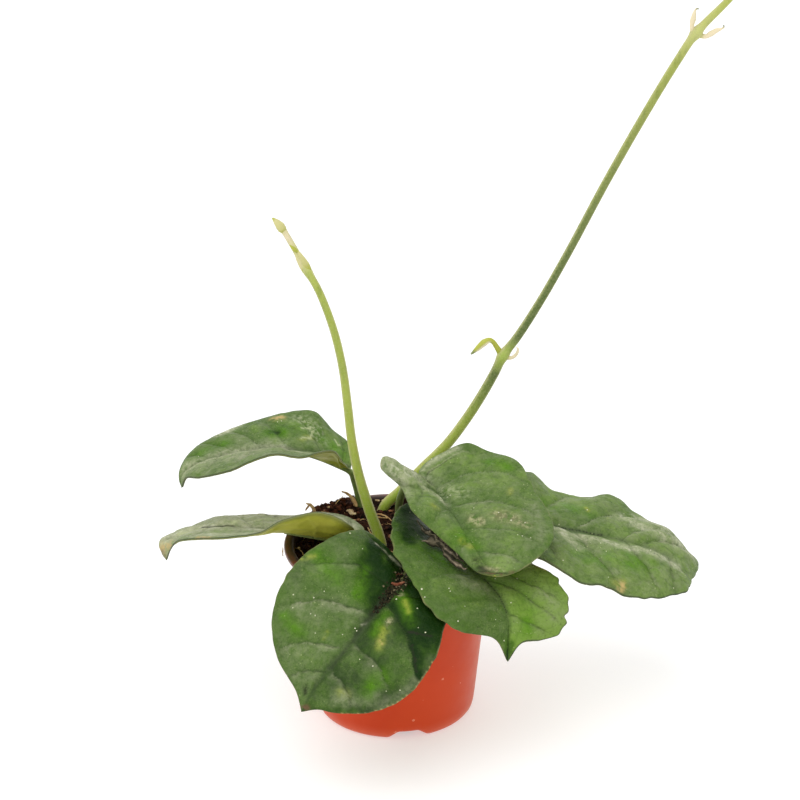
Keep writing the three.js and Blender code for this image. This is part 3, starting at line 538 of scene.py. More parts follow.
class Curve:
    """Centripetal Catmull-Rom curve, read by the share of its length"""

    def __init__(self, points, samples=40):
        corners = np.asarray(points, float)
        ends = np.vstack([2 * corners[0] - corners[1], corners, 2 * corners[-1] - corners[-2]])
        dense = [self.stretch(four, samples) for four in zip(ends, ends[1:], ends[2:], ends[3:])]
        self.points = np.vstack(dense + [corners[-1:]])
        steps = np.linalg.norm(np.diff(self.points, axis=0), axis=1)
        self.lengths = np.concatenate([[0], np.cumsum(steps)])
        self.length = self.lengths[-1]
        self.corner_shares = self.lengths[::samples] / self.length

    def stretch(self, corners, samples):
        """Points from the second of four corners up to the third"""
        gaps = [max(np.linalg.norm(b - a), 1e-6) ** 0.5 for a, b in zip(corners, corners[1:])]
        knots = np.cumsum([0] + gaps)
        place = np.linspace(knots[1], knots[2], samples, endpoint=False)[:, None]
        layer = corners
        for span in (1, 2):
            layer = [a + (b - a) * (place - low) / (high - low)
                     for a, b, low, high in zip(layer, layer[1:], knots, knots[span:])]
        first, second = layer
        return first + (second - first) * (place - knots[1]) / (knots[2] - knots[1])

    def at(self, shares):
        """Points on the curve"""
        lengths = np.asarray(shares, float) * self.length
        return np.stack([np.interp(lengths, self.lengths, self.points[:, k]) for k in range(3)], -1)

    def forward(self, shares, reach=0.004):
        """The way the curve goes"""
        return unit(self.at(np.minimum(shares + reach, 1)) - self.at(np.maximum(shares - reach, 0)))

    def spread(self, values, shares):
        """Values given at the curve's own points, read at the shares"""
        return np.interp(shares, self.corner_shares, values)


class Piece:
    """Gathers the points, faces and masks of one object"""

    def __init__(self, name):
        self.name = name
        self.points, self.faces, self.slots = [], [], []
        self.materials = []
        self.masks = {}
        self.count = 0

    def slot_of(self, material):
        if material not in self.materials:
            self.materials.append(material)
        return self.materials.index(material)

    def add(self, points, faces, material, **masks):
        points = np.asarray(points, float).reshape(-1, 3)
        self.points.append(points)
        self.faces += [tuple(int(i) + self.count for i in face) for face in faces]
        self.slots += [self.slot_of(material)] * len(faces)
        for name, values in masks.items():
            known = self.masks.get(name, np.zeros(0))
            gap = np.zeros(self.count - len(known))
            self.masks[name] = np.concatenate([known, gap, np.ravel(values)])
        self.count += len(points)

    def repaint(self, material, chosen):
        """Gives the chosen ones of the faces added last another material"""
        slot = self.slot_of(material)
        for index, choose in enumerate(chosen, len(self.slots) - len(chosen)):
            if choose:
                self.slots[index] = slot

    def build(self, slot, *nodes):
        """Makes the object, which stands for the given nodes of the part"""
        mesh = bpy.data.meshes.new(self.name)
        mesh.from_pydata(np.vstack(self.points) * MM, [], self.faces)
        mesh.polygons.foreach_set("material_index", self.slots)
        mesh.polygons.foreach_set("use_smooth", [True] * len(self.faces))
        for name, values in self.masks.items():
            values = np.pad(values, (0, self.count - len(values)))
            mesh.attributes.new(name, "FLOAT", "POINT").data.foreach_set("value", values)
        for material in self.materials:
            mesh.materials.append(material)
        mesh.update()
        piece = link(self.name, mesh)
        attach(piece, "root")
        if nodes:
            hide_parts(*nodes)
        return piece


class Nodes:
    """Short ways to wire a material's nodes"""

    def __init__(self, name):
        self.material = bpy.data.materials.new(name)
        self.material.use_nodes = True
        self.tree = self.material.node_tree
        self.shader = self.tree.nodes["Principled BSDF"]

    def put(self, socket, value):
        if isinstance(value, bpy.types.NodeSocket):
            self.tree.links.new(value, socket)
        else:
            socket.default_value = value

    def add(self, kind, settings=None, **inputs):
        node = self.tree.nodes.new(kind)
        for name, value in (settings or {}).items():
            setattr(node, name, value)
        for name, value in inputs.items():
            self.put(node.inputs[name.replace("_", " ")], value)
        return node

    def set(self, **inputs):
        for name, value in inputs.items():
            self.put(self.shader.inputs[name.replace("_", " ")], value)

    def mask(self, name):
        return self.add("ShaderNodeAttribute", {"attribute_name": name}).outputs["Fac"]

    def place(self):
        return self.add("ShaderNodeTexCoord").outputs["Object"]

    def noise(self, scale, detail=4.0, roughness=0.55, distortion=0.0, place=None):
        node = self.add("ShaderNodeTexNoise", Scale=scale, Detail=detail, Roughness=roughness,
                        Distortion=distortion, Vector=place or self.place())
        return node.outputs["Fac"]

    def sway(self, strength, *cloud):
        """A noise that goes up and down about zero"""
        return self.times(self.minus(self.noise(*cloud), 0.5), strength)

    def cells(self, scale):
        return self.add("ShaderNodeTexVoronoi", Scale=scale, Vector=self.place()).outputs

    def math(self, operation, first, second, clamp=False):
        node = self.add("ShaderNodeMath", {"operation": operation, "use_clamp": clamp})
        self.put(node.inputs[0], first)
        self.put(node.inputs[1], second)
        return node.outputs[0]

    def times(self, first, second, clamp=False):
        return self.math("MULTIPLY", first, second, clamp)

    def plus(self, first, second):
        return self.math("ADD", first, second)

    def minus(self, first, second):
        return self.math("SUBTRACT", first, second)

    def band(self, value, low, high, to_low=0.0, to_high=1.0):
        """Value from low to high turned smoothly into to_low to to_high"""
        node = self.add("ShaderNodeMapRange", {"interpolation_type": "SMOOTHSTEP"})
        for socket, number in zip(node.inputs, (value, low, high, to_low, to_high)):
            self.put(socket, number)
        return node.outputs[0]

    def mix(self, share, first, second):
        node = self.add("ShaderNodeMix", {"data_type": "RGBA"})
        self.put(node.inputs["Factor"], share)
        self.put(node.inputs[6], first)
        self.put(node.inputs[7], second)
        return node.outputs[2]

    def tint(self, colour, mask, strength, other):
        """The other colour over the first where the mask is"""
        return self.mix(self.times(self.mask(mask), strength), colour, other)

    def stain(self, colour, mask, cloud, limits, other):
        """The other colour over the first where the mask is, as far as a noise lets it"""
        return self.mix(self.times(self.mask(mask), self.band(self.noise(*cloud), *limits)), colour, other)

    def speckles(self, per_metre, size, rarity):
        """Mask of round specks, one in each random cell whose number is above the rarity"""
        cells = self.cells(per_metre)
        number = self.add("ShaderNodeSeparateColor", Color=cells["Color"]).outputs["Red"]
        small = self.math("LESS_THAN", cells["Distance"], size)
        return self.times(small, self.math("GREATER_THAN", number, rarity))

    def bump(self, height, distance):
        return self.add("ShaderNodeBump", Height=height, Distance=distance).outputs["Normal"]


def leaf_shade(n):
    """How light the green is, from the shade mask, which holds the leaf's own tone and painted light
    and shade, with clouds of two sizes, and darker where painted deep shade lies
    """
    clouds = n.plus(n.sway(1.1, 50, 6, 0.6, 0.5), n.sway(0.9, 200, 6, 0.62, 0.8))
    return n.minus(n.plus(n.mask("shade"), clouds), n.times(n.mask("deep"), 0.75))


def leaf_bloom_and_sheen(n):
    """How thick the patchy grey bloom and painted sheen lie, with the vein flush: less where the leaf
    is fresh or in painted deep shade
    """
    bloom = n.plus(n.mask("haze"), n.times(n.mask("crest"), 0.5))
    bloom = n.plus(bloom, n.times(n.mask("bloom"), 0.35))
    held = n.plus(n.times(n.mask("deep"), 0.5), n.times(n.mask("fresh"), 0.2))
    patches = n.band(n.noise(320, 6, 0.65, 0.5), 0.3, 0.68, 0.4, 1.15)
    broad = n.band(n.noise(130, 5, 0.6, 0.8), 0.32, 0.66, 0.6, 1.3)
    return n.times(n.times(n.minus(bloom, held), patches), broad, clamp=True)


def add_dust(n, colour, shade):
    """Fine light dust, less in the dark places, and darker grains"""
    dusty = n.times(n.band(n.noise(110, 4), 0.3, 0.7, 0.05, 0.4), n.band(shade, -0.1, 0.3, 0.2, 1.0))
    dust = n.times(n.band(n.noise(1500, 4, 0.7), 0.48, 0.72), dusty)
    colour = n.mix(dust, colour, srgb(136, 148, 92))
    return n.mix(n.band(n.noise(900, 4, 0.7), 0.52, 0.72, 0, 0.4), colour, srgb(24, 46, 8))


def add_scars(n, colour):
    """Dead, crusted and sooty places"""
    crust = n.mix(n.band(n.noise(420, 5, 0.7), 0.42, 0.6), srgb(112, 110, 78), srgb(178, 174, 132))
    colour = n.stain(colour, "tan", (420, 6), (0.35, 0.55, 0, 0.85), srgb(194, 168, 110))
    colour = n.stain(colour, "scab", (300, 6, 0.7), (0.38, 0.52, 0, 0.8), crust)
    colour = n.stain(colour, "brown", (350, 6), (0.35, 0.6), srgb(100, 78, 56))
    return n.stain(colour, "dark", (420, 6, 0.7), (0.3, 0.58, 0, 0.85), srgb(28, 34, 16))


def add_lines(n, colour):
    """The rim of the blade, pale scratches and painted shade in creases"""
    rim = n.mix(n.band(n.noise(40, 3), 0.42, 0.58), srgb(76, 88, 60), srgb(152, 146, 100))
    colour = n.stain(colour, "edge", (90, 3), (0.4, 0.6, 0.1, 0.65), rim)
    colour = n.stain(colour, "line", (200, 4), (0.25, 0.5, 0.25, 0.65), srgb(184, 190, 146))
    # Painted shade: dark lines in the creases
    colour = n.stain(colour, "crease", (240, 4), (0.25, 0.5, 0.5, 0.95), srgb(34, 40, 24))
    return n.tint(colour, "outline", 0.85, srgb(58, 68, 50))


def add_specks(n, colour, shade):
    """Crowds of small pale dots in the lighter places, and fewer bright ones"""
    crowd = n.times(n.band(n.noise(70, 3), 0.48, 0.68), n.band(shade, 0.15, 0.45, 0, 0.5))
    colour = n.mix(n.times(n.speckles(750, 0.2, 0.6), crowd), colour, srgb(176, 186, 130))
    some = n.band(n.noise(45, 3), 0.42, 0.6, 0.16, 0.8)
    return n.mix(n.times(n.speckles(330, 0.1, 0.86), some), colour, srgb(214, 216, 180))


def leaf_upper_material():
    """Dark green under a thin grey bloom that is partly painted sheen, with sunk veins, paler streaks,
    dust, small specks and painted shade
    """
    n = Nodes("leaf_upper")
    shade = leaf_shade(n)
    colour = n.mix(n.band(shade, -0.3, 0.5), srgb(14, 42, 3), srgb(64, 96, 24))
    colour = n.mix(n.band(shade, 0.45, 1.15), colour, srgb(112, 142, 56))
    colour = n.stain(colour, "fresh", (140, 5), (0.3, 0.65, 0, 0.8), srgb(80, 126, 14))
    colour = n.stain(colour, "yellow", (260, 5), (0.3, 0.6, 0, 0.75), srgb(146, 156, 58))
    # Grey bloom, partly real wax and partly painted sheen
    colour = n.mix(leaf_bloom_and_sheen(n), colour, srgb(142, 148, 114))
    # Silver markings, partly real and partly painted sheen on surfaces that face the light
    colour = n.stain(colour, "silver", (380, 6, 0.65, 1), (0.32, 0.68, 0.1875, 0.8625), srgb(184, 186, 154))
    colour = n.stain(colour, "silver", (170, 5, 0.7, 0.6), (0.5, 0.68, 0, 0.55), srgb(208, 208, 184))
    colour = n.stain(colour, "pale", (520, 6, 0.7), (0.45, 0.6, 0, 0.75), srgb(158, 168, 126))
    colour = add_dust(n, colour, shade)
    colour = n.tint(colour, "net", 0.22, srgb(40, 64, 18))
    colour = n.stain(colour, "vein", (260, 4), (0.3, 0.6, 0.15, 0.55), srgb(44, 58, 30))
    colour = n.tint(colour, "rib", 0.55, srgb(66, 72, 56))
    colour = add_scars(n, colour)
    colour = add_lines(n, colour)
    colour = add_specks(n, colour, shade)
    grain = n.plus(n.noise(1100, 4, 0.65), n.times(n.noise(300, 5), 2.4))
    roughness = n.band(n.noise(200, 5), 0.3, 0.7, 0.4, 0.56)
    n.set(Base_Color=colour, Roughness=roughness, Specular_IOR_Level=0.09, Normal=n.bump(grain, 0.0003))
    return n.material


def leaf_under_material():
    """Matt olive yellow with a greener net of veins"""
    n = Nodes("leaf_under")
    colour = n.mix(n.band(n.noise(60, 4), 0.35, 0.7), srgb(150, 156, 42), srgb(178, 178, 66))
    colour = n.tint(colour, "vein", 0.25, srgb(176, 178, 96))
    colour = n.tint(colour, "rib", 0.5, srgb(165, 168, 88))
    colour = n.tint(colour, "edge", 0.7, srgb(92, 98, 60))
    colour = n.tint(colour, "margin", 0.4, srgb(96, 104, 66))
    n.set(Base_Color=colour, Roughness=0.55, Specular_IOR_Level=0.35,
          Normal=n.bump(n.noise(700, 4), 0.00012))
    return n.material


def stem_material(name, low, high, stripe, blush):
    """Downy green stem with lengthwise stripes; its pale down is partly painted sheen. The tone mask runs
    from the low colour to the high
    """
    n = Nodes(name)
    low, high, stripe, blush = (srgb(*colour) for colour in (low, high, stripe, blush))
    drawn_out = n.add("ShaderNodeMapping", Vector=n.place(), Scale=(1.0, 1.0, 0.25)).outputs[0]
    streaks = n.band(n.noise(500, 4, place=drawn_out), 0.45, 0.7, 0, 0.3)
    colour = n.mix(streaks, n.mix(n.mask("tone"), low, high), stripe)
    colour = n.tint(colour, "stripe", 0.85, stripe)
    colour = n.tint(colour, "core", 0.8, srgb(138, 168, 36))
    colour = n.mix(n.mask("blush"), colour, blush)
    # Pale down, laid by the down mask mostly along the stem's outline seen from the front: partly real down,
    # partly painted sheen
    down = n.plus(n.times(n.mask("down"), 0.85), 0.15)
    down = n.times(down, n.band(n.noise(1300, 3, 0.7), 0.36, 0.6))
    colour = n.mix(down, colour, srgb(186, 182, 138))
    n.set(Base_Color=colour, Roughness=0.55, Specular_IOR_Level=0.35,
          Normal=n.bump(n.noise(1400, 3), 0.00012))
    n.set(Sheen_Weight=0.35, Sheen_Roughness=0.4, Sheen_Tint=srgb(225, 225, 180))
    return n.material


def leaflet_material():
    """From green over olive yellow to cream by the tone, with a green-grey tip"""
    n = Nodes("leaflet")
    tone = n.mask("tone")
    colour = n.mix(n.band(tone, -0.3, 0.1), srgb(92, 112, 44), srgb(168, 172, 58))
    colour = n.mix(n.band(tone, 0.15, 0.65), colour, srgb(226, 212, 176))
    colour = n.mix(n.band(tone, 0.88, 1.0), colour, srgb(112, 122, 84))
    colour = n.mix(n.mask("cream"), colour, srgb(232, 220, 188))
    colour = n.mix(n.mask("tip"), colour, srgb(118, 130, 74))
    n.set(Base_Color=colour, Roughness=0.5, Normal=n.bump(n.noise(2000, 3), 0.00008))
    n.set(Sheen_Weight=0.3, Sheen_Roughness=0.4)
    return n.material


def withered_material():
    """Grey-purple dead tissue with painted light: a pinkish brown highlight on its ridges and painted
    shade on its sides
    """
    n = Nodes("withered")
    ridge = n.plus(n.mask("ridge"), n.sway(0.3, 450, 5, 0.65))
    colour = n.mix(n.band(ridge, -0.5, 0.2), srgb(44, 42, 30), srgb(98, 90, 72))
    colour = n.mix(n.band(ridge, 0.25, 0.75), colour, srgb(150, 134, 116))
    n.set(Base_Color=colour, Roughness=0.75, Specular_IOR_Level=0.15,
          Normal=n.bump(n.noise(1500, 4), 0.0003))
    return n.material


def pot_material():
    """Satin orange plastic, darkened on the collar and the inside by peat dust and painted shade, and
    lighter on the foot by a painted highlight
    """
    n = Nodes("pot_plastic")
    colour = n.mix(n.band(n.noise(25, 3), 0.3, 0.7), srgb(193, 56, 10), srgb(201, 64, 15))
    place = n.add("ShaderNodeSeparateXYZ", Vector=n.place())
    height = n.plus(place.outputs["Z"], n.times(n.noise(220, 4), 0.0015))
    # The collar darkens from these heights up: peat dust and painted shade
    dusty = n.band(height, *(level * MM for level in DUST_AND_SHADE_HEIGHTS))
    dust = n.times(dusty, n.band(n.noise(300, 4), 0.2, 0.7, 0.8, 0.98))
    colour = n.mix(dust, colour, srgb(74, 56, 46))
    # The inside is nearly black-brown: peat dust and painted shade
    colour = n.tint(colour, "inside", 0.94, srgb(42, 29, 23))
    # Painted highlight, paler towards the bottom of the rounded foot
    pale = n.band(height, *(level * MM for level in FOOT_HIGHLIGHT_HEIGHTS), 0, 0.22)
    colour = n.mix(pale, colour, srgb(238, 150, 118))
    scuffs = n.times(n.speckles(260, 0.16, 0.93), n.band(n.noise(900, 2), 0.45, 0.55, 0, 0.6))
    colour = n.mix(scuffs, colour, srgb(228, 150, 120))
    roughness = n.band(n.noise(150, 4), 0.3, 0.7, 0.34, 0.44)
    n.set(Base_Color=colour, Roughness=roughness, Specular_IOR_Level=0.22,
          Normal=n.bump(n.noise(70, 2), 0.0002))
    n.set(Sheen_Weight=0.22, Sheen_Roughness=0.35, Sheen_Tint=srgb(255, 214, 190))
    return n.material


def peat_material():
    """Nearly black brown with lighter crumbs in patches"""
    n = Nodes("peat")
    colour = n.mix(n.band(n.noise(500, 6), 0.38, 0.62), srgb(10, 6, 4), srgb(46, 24, 15))
    patches = n.band(n.noise(200, 3), 0.4, 0.7, 0, 0.4)
    crumbs = n.times(n.band(n.cells(900)["Distance"], 0.1, 0.6), patches)
    colour = n.mix(crumbs, colour, srgb(98, 58, 36))
    n.set(Base_Color=colour, Roughness=0.95, Specular_IOR_Level=0.15,
          Normal=n.bump(n.noise(1500, 5), 0.0008))
    return n.material


def plain_material(name, first, second, scale, roughness, bump=0.0, specular=0.4):
    """Two tones of one colour, mixed by a noise"""
    n = Nodes(name)
    colour = n.mix(n.band(n.noise(scale, 5), 0.35, 0.65), srgb(*first), srgb(*second))
    n.set(Base_Color=colour, Roughness=roughness, Specular_IOR_Level=specular)
    if bump:
        n.set(Normal=n.bump(n.noise(scale * 3, 4), bump))
    return n.material


def tube(points, radii, sides=16, spacing=0.8, flatness=1.0, fold=0.0, nodes=()):
    """Closed stem: its points, its faces, and each point's share of the length and angle.
    Flatness thins it, fold bends its sides down like a roof, and nodes are its swellings."""
    curve = Curve(points)
    rings = max(int(curve.length / spacing), 6) + 1
    shares = np.linspace(0, 1, rings)
    centres = curve.at(shares)
    forward = curve.forward(shares)
    radius = curve.spread(radii, shares)
    for index, extra, reach in nodes:
        distance = (shares - curve.corner_shares[index]) * curve.length
        radius = radius + extra * np.exp(-(distance / reach) ** 2)
    angles = np.arange(sides) / sides * TURN
    across = np.cos(angles)[:, None]
    rise = (np.sin(angles) * flatness - fold * np.abs(np.cos(angles)))[:, None]
    side = np.cross(forward[0], FRONT)
    skin = []
    for centre, ahead, size in zip(centres, forward, radius):
        side = unit(side - ahead * (side @ ahead) + 3 * np.cross(ahead, FRONT))
        up = np.cross(side, ahead)
        skin.append(centre + size * (across * side + rise * up))
    skin += [centres[:1], centres[-1:]]
    share_of = np.append(np.repeat(shares, sides), (0, 1))
    angle_of = np.append(np.tile(angles, rings), (0, 0))
    return np.vstack(skin), ring_faces(rings, sides), share_of, angle_of


class Blade:
    """A leaf's blade as a grid of rows along the leaf and columns across it"""

    def __init__(self, name):
        self.name = name
        self.leaf = LEAVES[name]
        self.rib = Curve(self.leaf["rib"])
        base, tip = self.leaf["rib"][0], self.leaf["rib"][-1]
        self.margins = {side: Curve([base, *self.leaf[side], tip]) for side in ("left", "right")}
        self.along = np.linspace(0, 1, LEAF_ROWS + 1)
        steps = np.linspace(0, 1, LEAF_COLUMNS + 1)
        # Each column's share of the way from the midrib to the margin
        self.out = steps - COLUMN_CROWDING * np.sin(TURN * steps) / TURN
        halves = [self.half("left", -1), self.half("right", 1)]
        joined = [np.concatenate([left[:, ::-1], right[:, 1:]], axis=1) for left, right in zip(*halves)]
        self.middle, self.vein, self.crest, self.panel, self.lee, self.from_rib, self.from_edge = joined
        for _ in range(RIB_SMOOTHING):
            inner = self.middle[:, :-2] + 2 * self.middle[:, 1:-1] + self.middle[:, 2:]
            self.middle[:, 1:-1] = inner / 4
        self.across = np.concatenate([-self.out[::-1], self.out[1:]])
        up = np.cross(np.gradient(self.middle, axis=1), np.gradient(self.middle, axis=0))
        up[0], up[-1] = up[1], up[-2]
        self.up = unit(up)

    def half(self, side, sign):
        """One half's middle surface and masks, from the midrib to the margin"""
        rib_share = self.along ** VEIN_SWEEP
        rib = self.rib.at(rib_share)
        margin = self.margins[side].at(self.along)
        waves = ripples(margin, EDGE_WAVE, len(self.name)) * self.leaf.get("wavy", 1)
        wobble = 1 + waves * EDGE_WOBBLE
        for nick, depth, reach in self.leaf.get("nicks", {}).get(side, ()):
            wobble -= depth * np.exp(-((self.along - nick) / reach) ** 2)
        across = (margin - rib) * wobble[:, None]
        width = np.linalg.norm(across, axis=-1, keepdims=True)
        up = unit(np.cross(across, self.rib.forward(rib_share)) * sign)
        lifts = self.leaf["belly"][side]
        belly = np.interp(self.along, np.linspace(0, 1, len(lifts)), lifts)[:, None]
        out = self.out[None, :, None]
        rise = 2 * out * (1 - out) * (up * belly * width)[:, None]
        middle = rib[:, None] + across[:, None] * out + rise
        return middle, *self.panels(side), self.out * width, (1 - self.out) * width

    def panels(self, side):
        """Masks of a half's side veins, of the pale flush on their tip side, partly real and partly painted
        sheen, of the bulging panels between them, which rise steeply behind each vein and sink slowly to
        the next, and of the painted shade on the veins' base side"""
        along = self.along[:, None]
        length = self.margins[side].length
        spread = np.stack(np.broadcast_arrays(along * length, self.out * HALF_WIDTH, 0.0), -1)
        wander = ripples(spread, WANDER_SPACING, len(self.name)) * VEIN_WANDER
        vein_mask, crest, panel, lee = np.zeros((4, len(self.along), len(self.out)))
        edges = [np.zeros((1, len(self.out)))]
        for base, middle, outer, *strengths in self.leaf["veins"][side]:
            # The strengths that a vein doesn't give are the usual ones
            flush_sheen_strength, shadow = strengths + [FLUSH_SHEEN, 0][len(strengths):]
            vein = np.interp(self.out, (0, 0.5, 0.9), (base, middle, outer))[None, :]
            ahead = (along - vein) * length + wander
            # Painted shade on the vein's base side, and the pale flush, partly painted sheen, on its tip
            # side
            behind = np.exp(np.minimum(ahead, 0) / VEIN_SHADE_REACH) * smooth_step(0.7, -0.7, ahead)
            vein_mask = np.maximum(vein_mask, np.exp(-(ahead / VEIN_WIDTH) ** 2))
            crest = np.maximum(crest, np.where(ahead > 0, np.exp(-ahead / FLUSH_SHEEN_REACH), 0) * flush_sheen_strength)
            lee = np.maximum(lee, behind * shadow)
            edges.append(vein)
        edges.append(np.ones((1, len(self.out))))
        for low, high in zip(edges, edges[1:]):
            share = (along + wander / length - low) / np.maximum(high - low, 1e-3)
            inside = (share >= 0) & (share < 1)
            share = np.clip(share, 0, 1)
            steep = 1 - np.exp(-share / PANEL_STEEPNESS)
            wide = np.minimum((high - low) * length / PANEL_WIDTH, 1)
            height = steep * (1 - share ** PANEL_FALL) * wide
            panel = np.where(inside, height, panel)
        near_rib = smooth_step(0.02, 0.15, self.out)
        near_edge = smooth_step(0.65, 1.0, self.out)
        inland = near_rib * (1 - near_edge)
        return vein_mask * (1 - 0.7 * near_edge), crest * inland, panel * inland, lee * near_rib

    def pair(self, key):
        """A pair of the leaf's settings, for its left and right half, at each column"""
        return np.interp(self.across, (-0.1, 0.1), self.leaf.get(key, (1, 1)))

    def cell(self, along, across):
        """Row and column nearest to a place"""
        return int(round(along * LEAF_ROWS)), int(np.argmin(np.abs(self.across - across)))

    def surface(self, along, across):
        """Point on the upper face and the way up there"""
        row, column = self.cell(along, across)
        return self.top_points[row, column], self.up[row, column]

    def path(self, start, end, shares, lifts):
        """Points over the upper face between two places, at shares of the way"""
        points = []
        for share, lift in zip(shares, lifts):
            point, up = self.surface(*(a + (b - a) * share for a, b in zip(start, end)))
            points.append(point + up * lift)
        return points

    def spot_mask(self, spots):
        """Mask of soft streaks, each from one place to another"""
        mask = np.zeros(self.middle.shape[:2])
        for *ends, radius, strength in (spot if len(spot) > 5 else (*spot, 1) for spot in spots):
            for share in np.linspace(0, 1, SPOT_STEPS):
                along, across = (a + (b - a) * share for a, b in zip(ends[:2], ends[2:]))
                distance = np.linalg.norm(self.middle - self.middle[self.cell(along, across)], axis=-1)
                mask = np.maximum(mask, strength * np.exp(-(distance / radius) ** 2 * SPOT_SHARPNESS))
        return mask

    def wrinkles(self):
        """Height of the fine folds that run along a line across the leaf"""
        height = np.zeros(self.middle.shape[:2])
        for start, end, reach in self.leaf.get("wrinkles", ()):
            start, end = np.array(start), np.array(end)
            line = unit(end - start)
            offset = self.middle - start
            ahead = offset @ line
            stretched = offset - 0.88 * ahead[..., None] * line
            near = start + np.clip(ahead, 0, np.linalg.norm(end - start))[..., None] * line
            fade = np.exp(-(np.linalg.norm(self.middle - near, axis=-1) / reach) ** 2)
            height += ripples(stretched, WRINKLE_SPACING, SEED) * WRINKLE_HEIGHT * fade
        return height

    def relief(self):
        """Height of the upper and the lower face over the middle surface, and the masks of the
        midrib's groove and of the fine net"""
        net = cell_edges(self.middle, NET_SPACING, len(self.name))
        inland = smooth_step(0.5, 4, self.from_edge)
        bulge = self.pair("bulge") * smooth_step(0.97, 0.8, self.along[:, None])
        raised = self.panel * PANEL_BULGE * bulge
        raised += (smooth_step(0, 2.5, net) - 0.6) * NET_GROOVE * inland
        raised += ripples(self.middle, SWELL_SPACING, len(self.name)) * SWELL_HEIGHT * inland
        raised += ripples(self.middle, DIMPLE_SPACING, len(self.name) + 1) * DIMPLE_HEIGHT
        raised -= EDGE_DROOP * (1 - smooth_step(0, 2.2, self.from_edge))
        raised += self.wrinkles() * inland
        half = np.clip(1 - self.from_edge / EDGE_ROUNDING, 0, 1)
        half = 0.5 * LEAF_THICKNESS * np.sqrt(1 - half ** 2)
        taper = 1 - self.along[:, None]
        rib = np.exp(-(self.from_rib / (0.8 + 1.6 * taper)) ** 2) * taper ** 0.4
        rib = rib * self.leaf.get("rib_depth", 1)
        top = half + raised - rib * RIB_GROOVE - VEIN_GROOVE * self.pair("vein_depth") * self.vein
        keel = np.exp(-(self.from_rib / (0.5 + 0.8 * taper)) ** 2) * self.leaf.get("keel", 1) * taper
        bottom = -half + raised - (keel + UNDER_VEIN * self.vein) * smooth_step(0, 1.5, self.from_edge)
        return top, bottom, rib, np.exp(-(net / 0.5) ** 2) * inland

    def masks(self, rib, net):
        """All that colours the blade's points"""
        folds = self.wrinkles() / WRINKLE_HEIGHT
        left, right = self.leaf["shade"]
        shade = np.interp(self.across, (-1, -0.1, 0.1, 1), (left + 0.1, left, right, right + 0.1))
        haze = np.interp(self.across, (-0.15, 0.15), self.leaf["haze"])
        left, right = self.leaf.get("outline", (0, 0))
        edge = 1 - smooth_step(0, 0.7, self.from_edge)
        marks = {kind: self.spot_mask(SPOTS[self.name].get(kind, ())) for kind in SPOT_KINDS}
        # Painted shade: the shade on the veins' base sides joins the deep marks
        marks["deep"] = np.maximum(marks["deep"], self.lee)
        return {
            "vein": self.vein * self.pair("vein_depth"),
            "net": net,
            "rib": rib,
            "crest": self.crest,
            # Painted light and shade: lighter on the raised panels and folds, darker in the wrinkles'
            # hollows, and more grey sheen on the folds
            "shade": shade[None, :] + 0.2 * self.panel - 0.1 + 0.25 * folds,
            "haze": haze[None, :] + 0.1 * self.panel + 0.2 * folds,
            "edge": edge,
            "outline": edge * np.where(self.across < 0, left, right),
            "margin": 1 - smooth_step(0.8, 3.5, self.from_edge),
            **marks,
        }

    def around(self, over, below):
        """Values along each ring: over the upper face, and back over the lower one"""
        rows = slice(1, LEAF_ROWS)
        return np.concatenate([over[rows], below[rows][:, -2:0:-1]], axis=1)

    def add_to(self, piece, upper, under):
        top, bottom, rib, net = self.relief()
        self.top_points = self.middle + self.up * top[..., None]
        bottom_points = self.middle + self.up * bottom[..., None]
        points = self.around(self.top_points, bottom_points).reshape(-1, 3)
        points = np.vstack([points, self.middle[0, 0], self.middle[-1, 0]])
        masks = self.masks(rib, net)
        masks = {name: np.append(self.around(mask, mask), (0, 0)) for name, mask in masks.items()}
        rings, over = LEAF_ROWS - 1, 2 * LEAF_COLUMNS
        piece.add(points, ring_faces(rings, 2 * over), upper, **masks)
        # Each side of a ring has one face to the next ring, and one in the fan at either end
        is_under = [False] * over + [True] * over
        piece.repaint(under, is_under * (rings - 1) + list(np.repeat(is_under, 2)))


def make_leaf(name, upper, under, petiole_material):
    """A blade and its petiole, which runs out as a keel under the foot of the midrib"""
    piece = Piece(name + "_look")
    blade = Blade(name)
    blade.add_to(piece, upper, under)
    leaf = blade.leaf
    keel = blade.rib.at([0, 0.08, 0.2, 0.32]) - (0, 0, KEEL_DROP)
    radii = [leaf["petiole_radius"]] * len(leaf["petiole"]) + [1.3, 1.0, 0.75, 0.3]
    points, faces, share, angle = tube([*leaf["petiole"], *keel], radii, 14, 0.9)
    stripe = np.exp(-((np.cos(angle) - 0.2) / 0.35) ** 2)
    piece.add(points, faces, petiole_material, tone=smooth_step(0.2, 0.9, share), stripe=stripe * 0.5)
    piece.build("leaf", name)
    return blade


def scatter_hairs(points, faces, count, length, seed, keep):
    """Points and faces of fine pointed hairs that stand out of a surface"""
    rng = random.Random(seed)
    verts, hair_faces = [], []
    candidates = [face for face in faces if len(face) == 4 and keep(points[face[0]])]
    for _ in range(count):
        corners = points[list(rng.choice(candidates))]
        u, v = rng.random(), rng.random()
        low, high = corners[0] * (1 - u) + corners[1] * u, corners[3] * (1 - u) + corners[2] * u
        root = low * (1 - v) + high * v
        across, ahead = corners[1] - corners[0], corners[3] - corners[0]
        normal = unit(np.cross(across, ahead))
        lean = np.array([rng.uniform(-0.35, 0.35) for _ in range(3)])
        tip = root + unit(normal + lean) * length * rng.uniform(0.5, 1.1)
        side, other = unit(across) * HAIR_RADIUS, unit(ahead) * HAIR_RADIUS
        start = len(verts)
        verts.extend([*(root + corner - normal * HAIR_ROOT for corner in (-side, side, other)), tip])
        hair_faces.extend([(start, start + 1, start + 3), (start + 1, start + 2, start + 3),
                           (start + 2, start, start + 3), (start, start + 2, start + 1)])
    return np.array(verts), hair_faces


